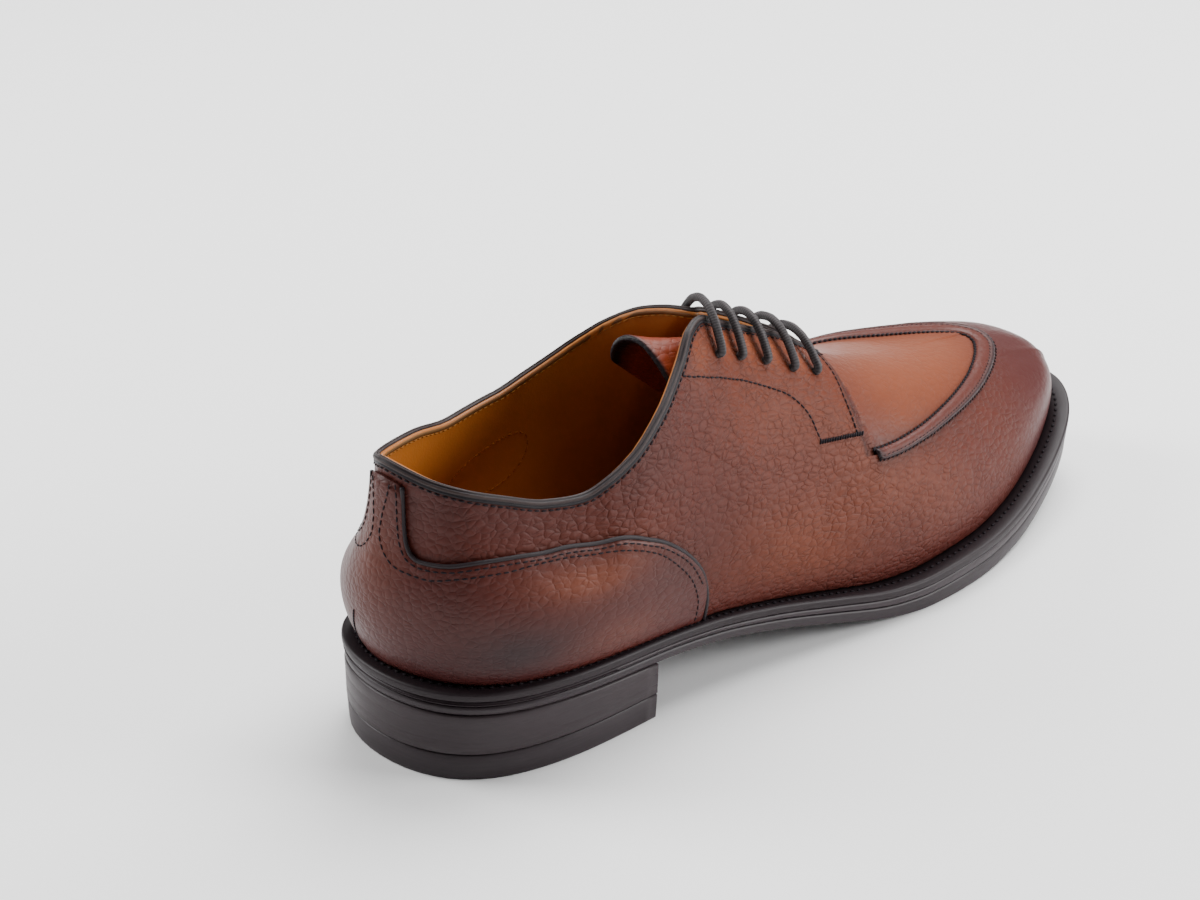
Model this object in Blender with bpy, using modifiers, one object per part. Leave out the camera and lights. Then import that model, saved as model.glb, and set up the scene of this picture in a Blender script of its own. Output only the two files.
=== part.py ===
"""Split toe derby, right shoe, as plain solids.

Sizes are in millimetres in the shoe's own layout: across is +X (wearer's right),
along runs from the back of the heel (0) to the toe, up is height over the floor.
The finished pieces are written in metres, centred over the sole.
"""

import bmesh
import bpy
import numpy as np
from mathutils import Vector
from mathutils.bvhtree import BVHTree

MM = 0.001

# Upper and sole sizes
WALL = 2.4
PLUG_RECESS = 1.1
RECESS_FADE = 0.14
FIT_GAP = 0.3
COUNTER_THICK = 1.1
COUNTER_LIFT = 0.5
COUNTER_COLUMNS = 20
COUNTER_ROWS = 7
SEAM_THICK = 1.0
SEAM_LIFT = 0.35
WELT_THICK = 2.8
WELT_TUCK = 0.9
MIDSOLE_SHARE = 0.42
INSOLE_THICK = 3.2
TONGUE_THICK = 2.2
TONGUE_ROOM = 2.2
TOP_PIECE_HEIGHT = 8.6
HEEL_TAPER = 1.4
BREAST_ALONG = 77.5
BREAST_HOLLOW = 2.5
EYELET_RADIUS = 2.1
LACE_RADIUS = 1.25
LACE_RISE = 1.5

# Grid steps of the lofted pieces
UPPER_ROWS_LOW = 6
UPPER_ROWS_HIGH = 5
SOLE_ROUND = 68

# Outer edge of the sole seen from above: across, along.
# From the back of the heel up the outer side to the toe, then back down the inner side.
SOLE_EDGE = (
    (-1.0, 1.6), (16.1, 5.3), (28.8, 15.1), (36.7, 32.7), (39.6, 59.9), (39.2, 89.9),
    (40.6, 119.8), (44.9, 149.7), (49.6, 179.8), (49.9, 205.0), (44.8, 234.5),
    (35.8, 261.0), (26.0, 282.0), (14.5, 297.6), (1.0, 304.5),
    (-15.5, 301.6), (-30.5, 291.0), (-41.5, 273.0), (-47.8, 250.0), (-49.9, 223.0),
    (-46.4, 195.0), (-37.3, 160.0), (-30.5, 130.0), (-30.0, 100.0), (-33.5, 65.0),
    (-35.5, 33.0), (-29.8, 13.5), (-17.0, 4.2),
)
TOE_ROW = 14

# Underside of the sole: along, up.
SOLE_UNDERSIDE = (
    (0.0, 22.9), (76.0, 19.6), (100.0, 17.0), (125.0, 12.4), (150.0, 6.6), (175.0, 1.2),
    (190.0, 0.0), (215.0, 0.0), (240.0, 1.7), (265.0, 6.0), (285.0, 11.0), (305.0, 17.4),
)

# Height of the sole's edge from underside to welt top: along, thick.
SOLE_EDGE_HEIGHT = ((0.0, 7.6), (80.0, 7.8), (150.0, 9.6), (215.0, 12.4), (305.0, 12.4))

# How far the upper's foot stands in from the sole's edge: station, inset.
FEATHER_INSET = (
    (0.0, 6.2), (0.05, 6.8), (0.10, 6.2), (0.15, 5.0), (0.20, 4.2), (0.30, 3.6), (0.40, 4.2),
    (0.50, 5.8), (0.60, 7.5), (0.70, 7.9), (0.85, 7.9), (1.0, 7.6),
)

# Top line of the outer side: station, across, along, up.
TOP_OUTER = (
    (0.0, -1.5, 8.2, 95.6), (0.05, 12.0, 12.1, 93.0), (0.10, 20.5, 18.6, 90.6),
    (0.14, 25.0, 31.0, 86.0), (0.175, 27.6, 43.0, 81.8), (0.21, 29.5, 55.0, 80.2),
    (0.245, 30.4, 65.0, 82.8), (0.27, 29.8, 73.5, 85.9), (0.31, 25.5, 88.7, 93.7),
    (0.35, 18.0, 103.3, 101.9), (0.378, 12.6, 112.5, 108.4), (0.40, 9.8, 119.0, 109.5),
    (0.43, 8.2, 129.2, 104.8), (0.46, 7.6, 140.5, 99.5), (0.50, 7.2, 154.8, 92.9),
    (0.535, 7.0, 165.6, 86.1), (0.562, 6.6, 175.2, 80.2),
)
# Top line of the inner side: station, across, along, up.
TOP_INNER = (
    (0.0, -1.5, 8.2, 95.6), (0.03, -8.0, 10.4, 93.9), (0.055, -14.0, 16.8, 91.4),
    (0.10, -21.0, 33.6, 88.7), (0.155, -27.0, 52.2, 84.6), (0.215, -30.5, 71.9, 84.9),
    (0.255, -31.5, 86.4, 87.4), (0.295, -30.3, 99.6, 91.7), (0.325, -26.5, 110.1, 96.9),
    (0.345, -21.0, 115.8, 101.1), (0.36, -15.5, 119.0, 104.1), (0.38, -8.0, 122.3, 106.3),
    (0.405, 1.6, 126.0, 107.9), (0.43, 2.2, 134.9, 104.4), (0.47, 2.4, 148.7, 97.2),
    (0.515, 2.6, 162.2, 89.6), (0.562, 3.4, 175.6, 80.1),
)
# Middle line of the forefoot, shared by both sides: station, across, along, up.
RIDGE = (
    (0.575, 5.0, 179.0, 78.8), (0.60, 4.2, 187.5, 75.2), (0.65, 1.8, 205.0, 69.3),
    (0.70, -1.0, 221.0, 64.5), (0.75, -3.8, 236.0, 60.7), (0.80, -6.2, 249.0, 57.6),
    (0.85, -8.0, 259.5, 55.0), (0.90, -9.2, 267.5, 53.1), (0.95, -9.8, 272.3, 52.0),
    (1.0, -10.0, 274.0, 51.6),
)

# Shape of each side from foot to top line. Low and wall points are measured from the
# foot, shoulder and crown points back from the top line.
# station, low out, low up, wall out, wall up, shoulder out, shoulder drop, crown out, crown drop
PROFILE_OUTER = (
    (0.00, 4.6, 7.0, 7.6, 25.0, 2.6, 27.0, 0.2, 11.0),
    (0.08, 4.4, 7.0, 7.2, 24.0, 4.6, 25.0, 1.2, 10.0),
    (0.16, 3.6, 6.5, 5.8, 21.0, 6.6, 21.0, 2.2, 8.0),
    (0.27, 2.8, 6.0, 4.6, 20.0, 8.0, 23.0, 2.8, 8.0),
    (0.34, 2.2, 6.0, 4.6, 22.0, 15.0, 31.0, 5.5, 10.0),
    (0.41, 2.0, 6.0, 4.6, 24.0, 21.0, 34.0, 7.0, 9.5),
    (0.50, 2.0, 5.5, 4.2, 22.0, 24.0, 25.0, 9.5, 6.0),
    (0.58, 1.8, 5.0, 3.8, 20.0, 28.0, 15.0, 12.0, 1.6),
    (0.70, 1.4, 5.0, 3.0, 17.0, 28.5, 10.5, 13.0, 0.0),
    (0.80, 1.2, 5.0, 2.2, 15.0, 25.5, 9.5, 12.0, 0.0),
    (0.90, 1.0, 4.5, 1.8, 13.0, 22.0, 7.0, 10.0, 0.0),
    (1.00, 1.0, 4.5, 1.6, 11.5, 20.5, 3.5, 10.0, 0.0),
)
PROFILE_INNER = (
    (0.00, 4.6, 7.0, 7.6, 25.0, 2.6, 27.0, 0.2, 11.0),
    (0.08, 4.2, 7.0, 6.8, 24.0, 3.8, 25.0, 1.0, 10.0),
    (0.16, 3.2, 6.5, 5.0, 21.0, 4.6, 21.0, 1.6, 8.0),
    (0.27, 2.6, 6.0, 4.6, 20.0, 6.0, 23.0, 2.0, 8.0),
    (0.34, 3.0, 7.0, 6.0, 24.0, 12.0, 28.0, 4.5, 9.0),
    (0.41, 3.4, 8.0, 6.6, 26.0, 21.0, 30.0, 8.0, 8.0),
    (0.50, 2.6, 6.5, 5.0, 24.0, 22.0, 21.0, 9.0, 5.0),
    (0.58, 1.8, 5.0, 3.8, 22.0, 30.0, 11.0, 13.0, 1.0),
    (0.70, 1.6, 5.0, 3.4, 20.0, 32.5, 5.0, 16.0, 0.0),
    (0.80, 1.4, 5.0, 3.0, 18.0, 29.0, 3.5, 14.0, 0.0),
    (0.90, 1.2, 4.5, 2.4, 15.0, 22.0, 2.5, 11.0, 0.0),
    (1.00, 1.0, 4.5, 1.6, 11.5, 20.5, 3.5, 10.0, 0.0),
)
THROAT = RIDGE[0][0]
THROAT_BLEND = 0.035
RIDGE_STEP = 0.02

# Upper edge of the heel counter: station, height share.
COUNTER_EDGE = (
    (0.0, 0.955), (0.026, 0.95), (0.030, 0.80), (0.038, 0.70), (0.049, 0.677), (0.069, 0.682),
    (0.109, 0.717), (0.148, 0.756), (0.191, 0.800), (0.238, 0.753), (0.274, 0.625),
    (0.299, 0.508), (0.321, 0.386), (0.336, 0.265), (0.344, 0.12), (0.346, 0.0),
)
COUNTER_END = COUNTER_EDGE[-1][0]

# Front edge of the facings: height share, station.
FACING_FRONT = ((0.0, 0.5545), (0.66, 0.5545), (0.78, 0.5555), (0.90, 0.5600), (1.0, 0.5610))
FACING_STEP = 0.0018

# Middle of the raised seam round the apron: station, height share.
APRON_OUTER = (
    (0.50, 0.580), (0.566, 0.580), (0.597, 0.584), (0.638, 0.610), (0.695, 0.659),
    (0.760, 0.714), (0.819, 0.789), (0.852, 0.845), (0.885, 0.915), (0.908, 0.970),
    (0.93, 1.0), (1.0, 1.0),
)
APRON_INNER = (
    (0.50, 0.697), (0.562, 0.697), (0.584, 0.689), (0.621, 0.719), (0.668, 0.795),
    (0.727, 0.858), (0.782, 0.890), (0.833, 0.917), (0.877, 0.961), (0.91, 1.0), (1.0, 1.0),
)
# The same seam seen from above: across, along.
APRON_PLAN = (
    (36.0, 173.5), (35.0, 184.0), (32.5, 198.5), (27.0, 217.8), (19.0, 238.0), (10.0, 254.5),
    (4.5, 262.0), (-1.0, 267.2), (-6.5, 269.0), (-11.8, 266.6), (-15.4, 259.5), (-17.4, 247.0),
    (-18.9, 231.0), (-21.0, 212.0), (-23.0, 196.0), (-22.2, 183.0), (-21.6, 176.0),
)
APRON_HALF_WIDTH = 2.6

# Lace holes: station and height share on each side, from the top down.
HOLES_OUTER = ((0.410, 0.895), (0.439, 0.900), (0.468, 0.893), (0.498, 0.873), (0.529, 0.874))
HOLES_INNER = ((0.413, 0.872), (0.439, 0.874), (0.465, 0.878), (0.495, 0.876), (0.529, 0.880))

# Extra rise of each lace bar, from the top down.
BAR_LIFT = (0.4, 0.9, 1.6, 2.2, 2.0)
BAR_ROUND = 0.85

# Extra steps back from the facings to the tongue's end: along, up, width share.
TONGUE_END = ((-6.0, 2.0, 0.99), (-11.5, 3.2, 0.95), (-15.0, 3.6, 0.84))


def smooth_table(rows, column=1, flat_ends=False):
    """Return a smooth curve through a table's column, level at both ends if asked."""
    xs = np.array([row[0] for row in rows])
    ys = np.array([row[column] for row in rows])
    widths = np.diff(xs)
    slopes = np.diff(ys) / widths
    tangents = np.empty(len(xs))
    tangents[0] = 0.0 if flat_ends else slopes[0]
    tangents[-1] = 0.0 if flat_ends else slopes[-1]
    for i in range(1, len(xs) - 1):
        if slopes[i - 1] * slopes[i] <= 0.0:
            tangents[i] = 0.0
        else:
            near = 2.0 * widths[i] + widths[i - 1]
            far = widths[i] + 2.0 * widths[i - 1]
            tangents[i] = (near + far) / (near / slopes[i - 1] + far / slopes[i])

    def value(x):
        x = min(max(x, xs[0]), xs[-1])
        i = min(int(np.searchsorted(xs, x, side="right")) - 1, len(xs) - 2)
        t = (x - xs[i]) / widths[i]
        rise = ys[i] * (1 + 2 * t) * (1 - t) ** 2 + ys[i + 1] * t * t * (3 - 2 * t)
        lean = widths[i] * t * (1 - t) * (tangents[i] * (1 - t) - tangents[i + 1] * t)
        return float(rise + lean)

    return value


def closed_spline(points):
    """Return a smooth closed curve through points, its knots and its whole length."""
    pts = np.array(points, float)
    count = len(pts)
    steps = np.linalg.norm(np.roll(pts, -1, axis=0) - pts, axis=1)
    knots = np.concatenate([[0.0], np.cumsum(steps)])
    matrix = np.zeros((count, count))
    right = np.zeros((count, 2))
    for i in range(count):
        before = steps[i - 1]
        after = steps[i]
        matrix[i, (i - 1) % count] += after
        matrix[i, i] += 2.0 * (before + after)
        matrix[i, (i + 1) % count] += before
        lean_in = (pts[i] - pts[i - 1]) / before
        lean_out = (pts[(i + 1) % count] - pts[i]) / after
        right[i] = 3.0 * (after * lean_in + before * lean_out)
    tangents = np.linalg.solve(matrix, right)

    def value(d):
        d = d % knots[-1]
        i = min(int(np.searchsorted(knots, d, side="right")) - 1, count - 1)
        width = steps[i]
        t = (d - knots[i]) / width
        j = (i + 1) % count
        rise = pts[i] * (1 + 2 * t) * (1 - t) ** 2 + pts[j] * t * t * (3 - 2 * t)
        lean = width * t * (1 - t) * (tangents[i] * (1 - t) - tangents[j] * t)
        return rise + lean

    return value, knots, knots[-1]


edge_curve, EDGE_KNOTS, EDGE_LENGTH = closed_spline(SOLE_EDGE)
underside = smooth_table(SOLE_UNDERSIDE)
edge_height = smooth_table(SOLE_EDGE_HEIGHT)
feather_inset = smooth_table(FEATHER_INSET, 1, True)
top_outer = [smooth_table(TOP_OUTER + RIDGE, c, c > 1) for c in (1, 2, 3)]
top_inner = [smooth_table(TOP_INNER + RIDGE, c, c > 1) for c in (1, 2, 3)]
profile_outer = [smooth_table(PROFILE_OUTER, c, True) for c in range(1, 9)]
profile_inner = [smooth_table(PROFILE_INNER, c, True) for c in range(1, 9)]


def side_of(u):
    """Split a place round the shoe into a side and a station from heel to toe."""
    u = u % 1.0
    if u <= 0.5:
        return True, 2.0 * u
    return False, 2.0 * (1.0 - u)


def edge_place(u):
    """Distance along the sole's edge for a place round the shoe."""
    toe = EDGE_KNOTS[TOE_ROW]
    outer, s = side_of(u)
    if outer:
        return s * toe
    return EDGE_LENGTH - s * (EDGE_LENGTH - toe)


def edge_point(u, inset=0.0):
    """Point of the sole's outline, moved in by an inset, with its outward direction."""
    place = edge_place(u)
    here = edge_curve(place)
    step = edge_curve(place + 0.5) - edge_curve(place - 0.5)
    step = step / np.linalg.norm(step)
    outward = np.array([step[1], -step[0]])
    return here - outward * inset, outward


def welt_top(along):
    """Height of the welt's upper face."""
    return underside(along) + edge_height(along)


def profile_points(u):
    """Six control points of the upper's section at a place round the shoe."""
    outer, s = side_of(u)
    foot_xy, outward = edge_point(u, feather_inset(s))
    foot = np.array([foot_xy[0], foot_xy[1], welt_top(foot_xy[1]) + FIT_GAP])
    curves = top_outer if outer else top_inner
    top = np.array([curve(s) for curve in curves])
    shape = [curve(s) for curve in (profile_outer if outer else profile_inner)]
    low_out, low_up, wall_out, wall_up, shoulder_out, shoulder_drop, crown_out, crown_drop = shape
    away = foot[:2] - top[:2] + outward * 10.0
    away = away / np.linalg.norm(away)
    ahead = min(max(s, THROAT) + RIDGE_STEP, 1.0)
    behind = ahead - RIDGE_STEP
    rise = curves[2](ahead) - curves[2](behind)
    run = curves[1](ahead) - curves[1](behind)
    slope = rise / run * min(max((s - THROAT) / THROAT_BLEND + 1.0, 0.0), 1.0)
    up = np.array([0.0, 0.0, 1.0])
    flat_out = np.array([outward[0], outward[1], 0.0])
    flat_away = np.array([away[0], away[1], 0.0])
    return np.array([
        foot,
        foot + flat_out * low_out + up * low_up,
        foot + flat_out * wall_out + up * wall_up,
        top + flat_away * shoulder_out + up * (slope * away[1] * shoulder_out * 0.6 - shoulder_drop),
        top + flat_away * crown_out + up * (slope * away[1] * crown_out - crown_drop),
        top,
    ])


SPLINE_KNOTS = (0.0, 0.0, 0.0, 0.0, 1.0, 2.0, 3.0, 3.0, 3.0, 3.0)


def spline_weights(v):
    """Weights of the six control points at a height share v from foot (0) to top (1)."""
    t = min(max(v, 0.0), 0.999999) * 3.0
    knots = SPLINE_KNOTS
    weights = [1.0 if knots[i] <= t < knots[i + 1] else 0.0 for i in range(9)]
    for degree in (1, 2, 3):
        for i in range(9 - degree):
            left = knots[i + degree] - knots[i]
            right = knots[i + degree + 1] - knots[i + 1]
            first = (t - knots[i]) / left * weights[i] if left > 0.0 else 0.0
            second = (knots[i + degree + 1] - t) / right * weights[i + 1] if right > 0.0 else 0.0
            weights[i] = first + second
    return np.array(weights[:6])


def upper_surface(u, v):
    """Point of the smooth upper: u runs round the shoe, v from foot to top line."""
    return spline_weights(v) @ profile_points(u)


def surface_normal(u, v):
    """Direction out of the upper at a place on it."""
    step_u = 0.002
    step_v = 0.01
    low = max(v - step_v, 0.0)
    high = min(v + step_v, 1.0)
    round_step = upper_surface(u + step_u, v) - upper_surface(u - step_u, v)
    rise_step = upper_surface(u, high) - upper_surface(u, low)
    normal = np.cross(round_step, rise_step)
    return normal / np.linalg.norm(normal)


apron_share_outer = smooth_table(APRON_OUTER)
apron_share_inner = smooth_table(APRON_INNER)
facing_front = smooth_table(FACING_FRONT)
counter_share = smooth_table(COUNTER_EDGE)

EDGE_SAMPLES = np.array([edge_point(i / 400.0)[0] for i in range(400)])
CENTRE = (EDGE_SAMPLES.min(axis=0) + EDGE_SAMPLES.max(axis=0)) / 2.0


# Mesh building


def to_metres(point):
    """Place a shoe point in metres, centred over the sole."""
    return Vector(((point[0] - CENTRE[0]) * MM, (point[1] - CENTRE[1]) * MM, point[2] * MM))


def material(name, colour, roughness):
    """Make a plain surface material."""
    mat = bpy.data.materials.new(name)
    mat.use_nodes = True
    shader = mat.node_tree.nodes["Principled BSDF"]
    shader.inputs["Base Color"].default_value = (*colour, 1.0)
    shader.inputs["Roughness"].default_value = roughness
    return mat


def collection(name):
    """Make a collection in the scene."""
    made = bpy.data.collections.new(name)
    bpy.context.scene.collection.children.link(made)
    return made


def mesh_object(name, points, faces, home, mat):
    """Make an object from shoe points and faces, joined up and facing outward."""
    mesh = bpy.data.meshes.new(name)
    body = bmesh.new()
    verts = [body.verts.new(to_metres(point)) for point in points]
    for face in faces:
        corners = [verts[i] for i in dict.fromkeys(face)]
        if len(corners) > 2:
            body.faces.new(corners)
    bmesh.ops.remove_doubles(body, verts=body.verts, dist=0.00002)
    bmesh.ops.dissolve_degenerate(body, edges=body.edges, dist=0.00002)
    bmesh.ops.recalc_face_normals(body, faces=body.faces)
    body.to_mesh(mesh)
    body.free()
    obj = bpy.data.objects.new(name, mesh)
    home.objects.link(obj)
    if mat is not None:
        mesh.materials.append(mat)
    for face in mesh.polygons:
        face.use_smooth = True
    return obj


def grid_faces(rows, columns, closed=False):
    """Four-sided faces of a grid of points listed row by row."""
    faces = []
    last = columns if closed else columns - 1
    for r in range(rows - 1):
        for c in range(last):
            d = (c + 1) % columns
            faces.append((r * columns + c, r * columns + d,
                          (r + 1) * columns + d, (r + 1) * columns + c))
    return faces


def sheet_solid(name, low_rows, high_rows, home, mat):
    """Make a solid between two matching grids of points."""
    rows = len(low_rows)
    columns = len(low_rows[0])
    points = [p for row in low_rows for p in row] + [p for row in high_rows for p in row]
    half = rows * columns
    base = grid_faces(rows, columns)
    faces = [tuple(reversed(face)) for face in base]
    faces += [tuple(i + half for i in face) for face in base]
    ring = [c for c in range(columns)]
    ring += [r * columns + columns - 1 for r in range(1, rows)]
    ring += [(rows - 1) * columns + c for c in range(columns - 2, -1, -1)]
    ring += [r * columns for r in range(rows - 2, 0, -1)]
    for i, a in enumerate(ring):
        b = ring[(i + 1) % len(ring)]
        faces.append((a, b, b + half, a + half))
    return mesh_object(name, points, faces, home, mat)


def spread(start, end, count):
    """Evenly spaced values from start up to, not including, end."""
    return [start + (end - start) * i / count for i in range(count)]


def upper_stations():
    """Stations of the upper's columns from heel to toe."""
    front = FACING_FRONT[0][1]
    stations = spread(0.0, 0.36, 13) + spread(0.36, 0.41, 4)
    stations += spread(0.41, front - FACING_STEP, 6)
    stations += [front - FACING_STEP, front + FACING_STEP, 0.5665]
    stations += spread(THROAT, 1.0, 16) + [1.0]
    return stations


def apron_share(outer, s):
    """Height share of the apron's edge at a station."""
    return apron_share_outer(s) if outer else apron_share_inner(s)


def facing_shift(s, v):
    """Move of a station so that columns run along the facing's front edge."""
    front = FACING_FRONT[0][1]
    reach = 0.055 if s < front else 0.0125
    near = max(0.0, 1.0 - max(abs(s - front) - FACING_STEP, 0.0) / reach)
    return (facing_front(v) - front) * near


def row_shares(outer, s):
    """Height shares of the upper's rows at a station."""
    split = min(apron_share(outer, max(s, 0.5)), 0.985)
    low = [split * i / UPPER_ROWS_LOW for i in range(UPPER_ROWS_LOW)]
    high = [split + (1.0 - split) * i / UPPER_ROWS_HIGH for i in range(UPPER_ROWS_HIGH + 1)]
    return low + high


def recess(outer, s, v):
    """Depth of the apron panel below the walls around it, fading out at the toe."""
    edge = apron_share(outer, s)
    if s <= facing_front(v) or v <= edge + 0.001:
        return 0.0
    return PLUG_RECESS * min(1.0, (1.0 - edge) / RECESS_FADE)


def upper_point(outer, s, v):
    """Point of the upper with the apron panel set down."""
    place = s + facing_shift(s, v)
    u = place / 2.0 if outer else 1.0 - place / 2.0
    point = upper_surface(u, v)
    depth = recess(outer, place, v)
    if depth > 0.0:
        point = point - surface_normal(u, min(v, 0.97)) * depth
    return point


def upper_grid():
    """Points of the upper's outer face: a list of columns round the shoe."""
    stations = upper_stations()
    columns = [(True, s) for s in stations]
    columns += [(False, s) for s in reversed(stations[1:-1])]
    grid = []
    for outer, s in columns:
        shares = row_shares(outer, s)
        column = [upper_point(outer, s, v) for v in shares]
        grid.append(column)
    return columns, grid


def share_ridge(columns, grid):
    """Give both sides of the forefoot the same points along the middle line."""
    for i, (outer, s) in enumerate(columns):
        if outer and THROAT - 0.0001 <= s < 1.0:
            j = columns.index((False, s))
            middle = (grid[i][-1] + grid[j][-1]) / 2.0
            grid[i][-1] = middle
            grid[j][-1] = middle


def solidify(obj, thickness, offset):
    """Give a sheet its thickness."""
    wall = obj.modifiers.new("Wall", "SOLIDIFY")
    wall.thickness = thickness * MM
    wall.offset = offset
    wall.use_even_offset = False
    wall.use_rim = True
    return wall


def hole_cutter(name, base, axis, radius, length, home):
    """Round cutter through a wall, centred on a point and running along an axis."""
    bpy.ops.mesh.primitive_cylinder_add(vertices=14, radius=radius * MM, depth=length * MM)
    cutter = bpy.context.object
    cutter.name = name
    cutter.location = to_metres(base)
    cutter.rotation_mode = "QUATERNION"
    cutter.rotation_quaternion = Vector((0.0, 0.0, 1.0)).rotation_difference(Vector(axis))
    for owner in list(cutter.users_collection):
        owner.objects.unlink(cutter)
    home.objects.link(cutter)
    cutter.hide_render = True
    cutter.display_type = "WIRE"
    return cutter


def hole_places():
    """Place and outward direction of every lace hole, outer side then inner side."""
    sides = []
    for outer, table in ((True, HOLES_OUTER), (False, HOLES_INNER)):
        places = []
        for s, v in table:
            u = s / 2.0 if outer else 1.0 - s / 2.0
            places.append((upper_surface(u, v), surface_normal(u, v)))
        sides.append(places)
    return sides


def make_upper(home, cutters, mat):
    """Hollow upper, open at the collar, at the lace slot and underneath."""
    columns, grid = upper_grid()
    share_ridge(columns, grid)
    rows = len(grid[0])
    points = [grid[c][r] for r in range(rows) for c in range(len(grid))]
    faces = grid_faces(rows, len(grid), closed=True)
    upper = mesh_object("upper", points, faces, home, mat)
    solidify(upper, WALL, -1.0)
    for side, places in zip(("outer", "inner"), hole_places()):
        for number, (base, axis) in enumerate(places):
            name = f"hole_{side}_{number + 1}"
            cutter = hole_cutter(name, base, axis, EYELET_RADIUS, 12.0, cutters)
            cut = upper.modifiers.new(name, "BOOLEAN")
            cut.operation = "DIFFERENCE"
            cut.solver = "EXACT"
            cut.object = cutter
    return upper


def make_counter(home, mat):
    """Heel counter laid over the back of the upper."""
    half = COUNTER_COLUMNS
    rows = COUNTER_ROWS
    low_rows = [[] for _ in range(rows)]
    high_rows = [[] for _ in range(rows)]
    foot = 0.012
    for i in range(-half, half + 1):
        s = COUNTER_END * 0.995 * (abs(i) / half) ** 1.1
        u = (s if i >= 0 else -s) / 2.0
        top = max(counter_share(s), foot + 0.03)
        for j in range(rows):
            v = foot + (top - foot) * j / (rows - 1)
            normal = surface_normal(u, v)
            base = upper_surface(u, v)
            low_rows[j].append(base + normal * COUNTER_LIFT)
            high_rows[j].append(base + normal * (COUNTER_LIFT + COUNTER_THICK))
    return sheet_solid("heel_counter", low_rows, high_rows, home, mat)


def plain_curve(points, count):
    """Evenly spaced points along a smooth open curve."""
    pts = np.array(points, float)
    steps = np.linalg.norm(np.diff(pts, axis=0), axis=1)
    knots = np.concatenate([[0.0], np.cumsum(steps)])
    curves = [smooth_table([(k, p[a]) for k, p in zip(knots, pts)]) for a in range(pts.shape[1])]
    places = np.linspace(0.0, knots[-1], count)
    return np.array([[curve(place) for curve in curves] for place in places])


def smooth_tree():
    """Search tree over the smooth forefoot, before the apron is set down."""
    columns = 90
    rows = 24
    points = []
    for i in range(columns + 1):
        s = 0.54 + 0.92 * i / columns
        u = s / 2.0
        points += [to_metres(upper_surface(u, j / rows)) for j in range(rows + 1)]
    faces = grid_faces(columns + 1, rows + 1)
    return BVHTree.FromPolygons(points, faces)


def make_apron_seam(home, mat):
    """Raised seam round the apron."""
    upper_tree = smooth_tree()
    middle = plain_curve(APRON_PLAN, 50)
    shape = ((-1.0, 0.0), (-0.6, 0.8), (0.0, 1.0), (0.6, 0.8), (1.0, 0.0))
    low_rows = [[] for _ in shape]
    high_rows = [[] for _ in shape]
    down = Vector((0.0, 0.0, -1.0))
    for i, (across, along) in enumerate(middle):
        before = middle[max(i - 1, 0)]
        after = middle[min(i + 1, len(middle) - 1)]
        start = to_metres((across, along, 150.0))
        hit, normal, _, _ = upper_tree.ray_cast(start, down)
        ahead = Vector((after[0] - before[0], after[1] - before[1], 0.0))
        normal = normal if normal.z > 0.0 else -normal
        ahead = (ahead - normal * ahead.dot(normal)).normalized()
        side = normal.cross(ahead)
        for j, (offset, height) in enumerate(shape):
            guess = hit + side * (offset * APRON_HALF_WIDTH * MM)
            near, face_normal, _, _ = upper_tree.find_nearest(guess)
            lift = normal * (SEAM_LIFT * MM)
            low_rows[j].append(near + lift)
            high_rows[j].append(near + lift + normal * ((0.35 + height * SEAM_THICK) * MM))
    low = [[from_metres(p) for p in row] for row in low_rows]
    high = [[from_metres(p) for p in row] for row in high_rows]
    return sheet_solid("apron_seam", low, high, home, mat)


def from_metres(point):
    """Shoe point of a place in metres."""
    return np.array([point.x / MM + CENTRE[0], point.y / MM + CENTRE[1], point.z / MM])


def make_tongue(home, mat):
    """Tongue under the facings, running back into the collar."""
    depth = WALL + 2.0 * LACE_RADIUS + TONGUE_ROOM
    shares = (0.64, 0.70, 0.76, 0.82, 0.87)
    stations = (0.572, 0.555, 0.53, 0.505, 0.48, 0.455, 0.43, 0.41)
    rows = []
    for s in stations:
        row = [sunk_point(s / 2.0, share, depth) for share in shares]
        crest = sunk_point(s / 2.0, 1.0, depth) + sunk_point(1.0 - s / 2.0, 1.0, depth)
        row.append(crest / 2.0)
        for share in reversed(shares):
            row.append(sunk_point(1.0 - s / 2.0, share + (1.0 - share) * 0.08, depth))
        rows.append(row)
    last = np.array(rows[-1])
    middle = last[len(shares)]
    for along, up, width in TONGUE_END:
        moved = middle + np.array([0.0, along, up])
        rows.append([moved + (point - middle) * width for point in last])
    high_rows = []
    for r, row in enumerate(rows):
        before = np.array(rows[max(r - 1, 0)])
        after = np.array(rows[min(r + 1, len(rows) - 1)])
        raised = []
        for c, point in enumerate(row):
            across = row[min(c + 1, len(row) - 1)] - row[max(c - 1, 0)]
            normal = np.cross(after[c] - before[c], across)
            normal = normal / np.linalg.norm(normal)
            if normal[2] < 0.0:
                normal = -normal
            raised.append(point - normal * TONGUE_THICK)
        high_rows.append(raised)
    return sheet_solid("tongue", rows, high_rows, home, mat)


def sunk_point(u, v, depth):
    """Point below the upper's outer face."""
    return upper_surface(u, v) - surface_normal(u, min(v, 0.97)) * depth


def strip_solid(name, sections, home, mat):
    """Make a slab from stacked outlines, each listed round the shoe, capped across."""
    count = len(sections[0])
    points = [p for section in sections for p in section]
    faces = grid_faces(len(sections), count, closed=True)
    half = count // 2
    top = (len(sections) - 1) * count
    for i in range(half):
        j = (count - i) % count
        k = (count - i - 1) % count
        faces.append((i, i + 1, k, j))
        faces.append((top + i, top + j, top + k, top + i + 1))
    return mesh_object(name, points, faces, home, mat)


def outline_section(inset, height_at):
    """Outline round the sole at an inset, with a height from each point's place along."""
    section = []
    for i in range(SOLE_ROUND):
        u = i / SOLE_ROUND
        amount = inset(side_of(u)[1]) if callable(inset) else inset
        point, _ = edge_point(u, amount)
        section.append((point[0], point[1], height_at(point[1])))
    return section


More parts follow.
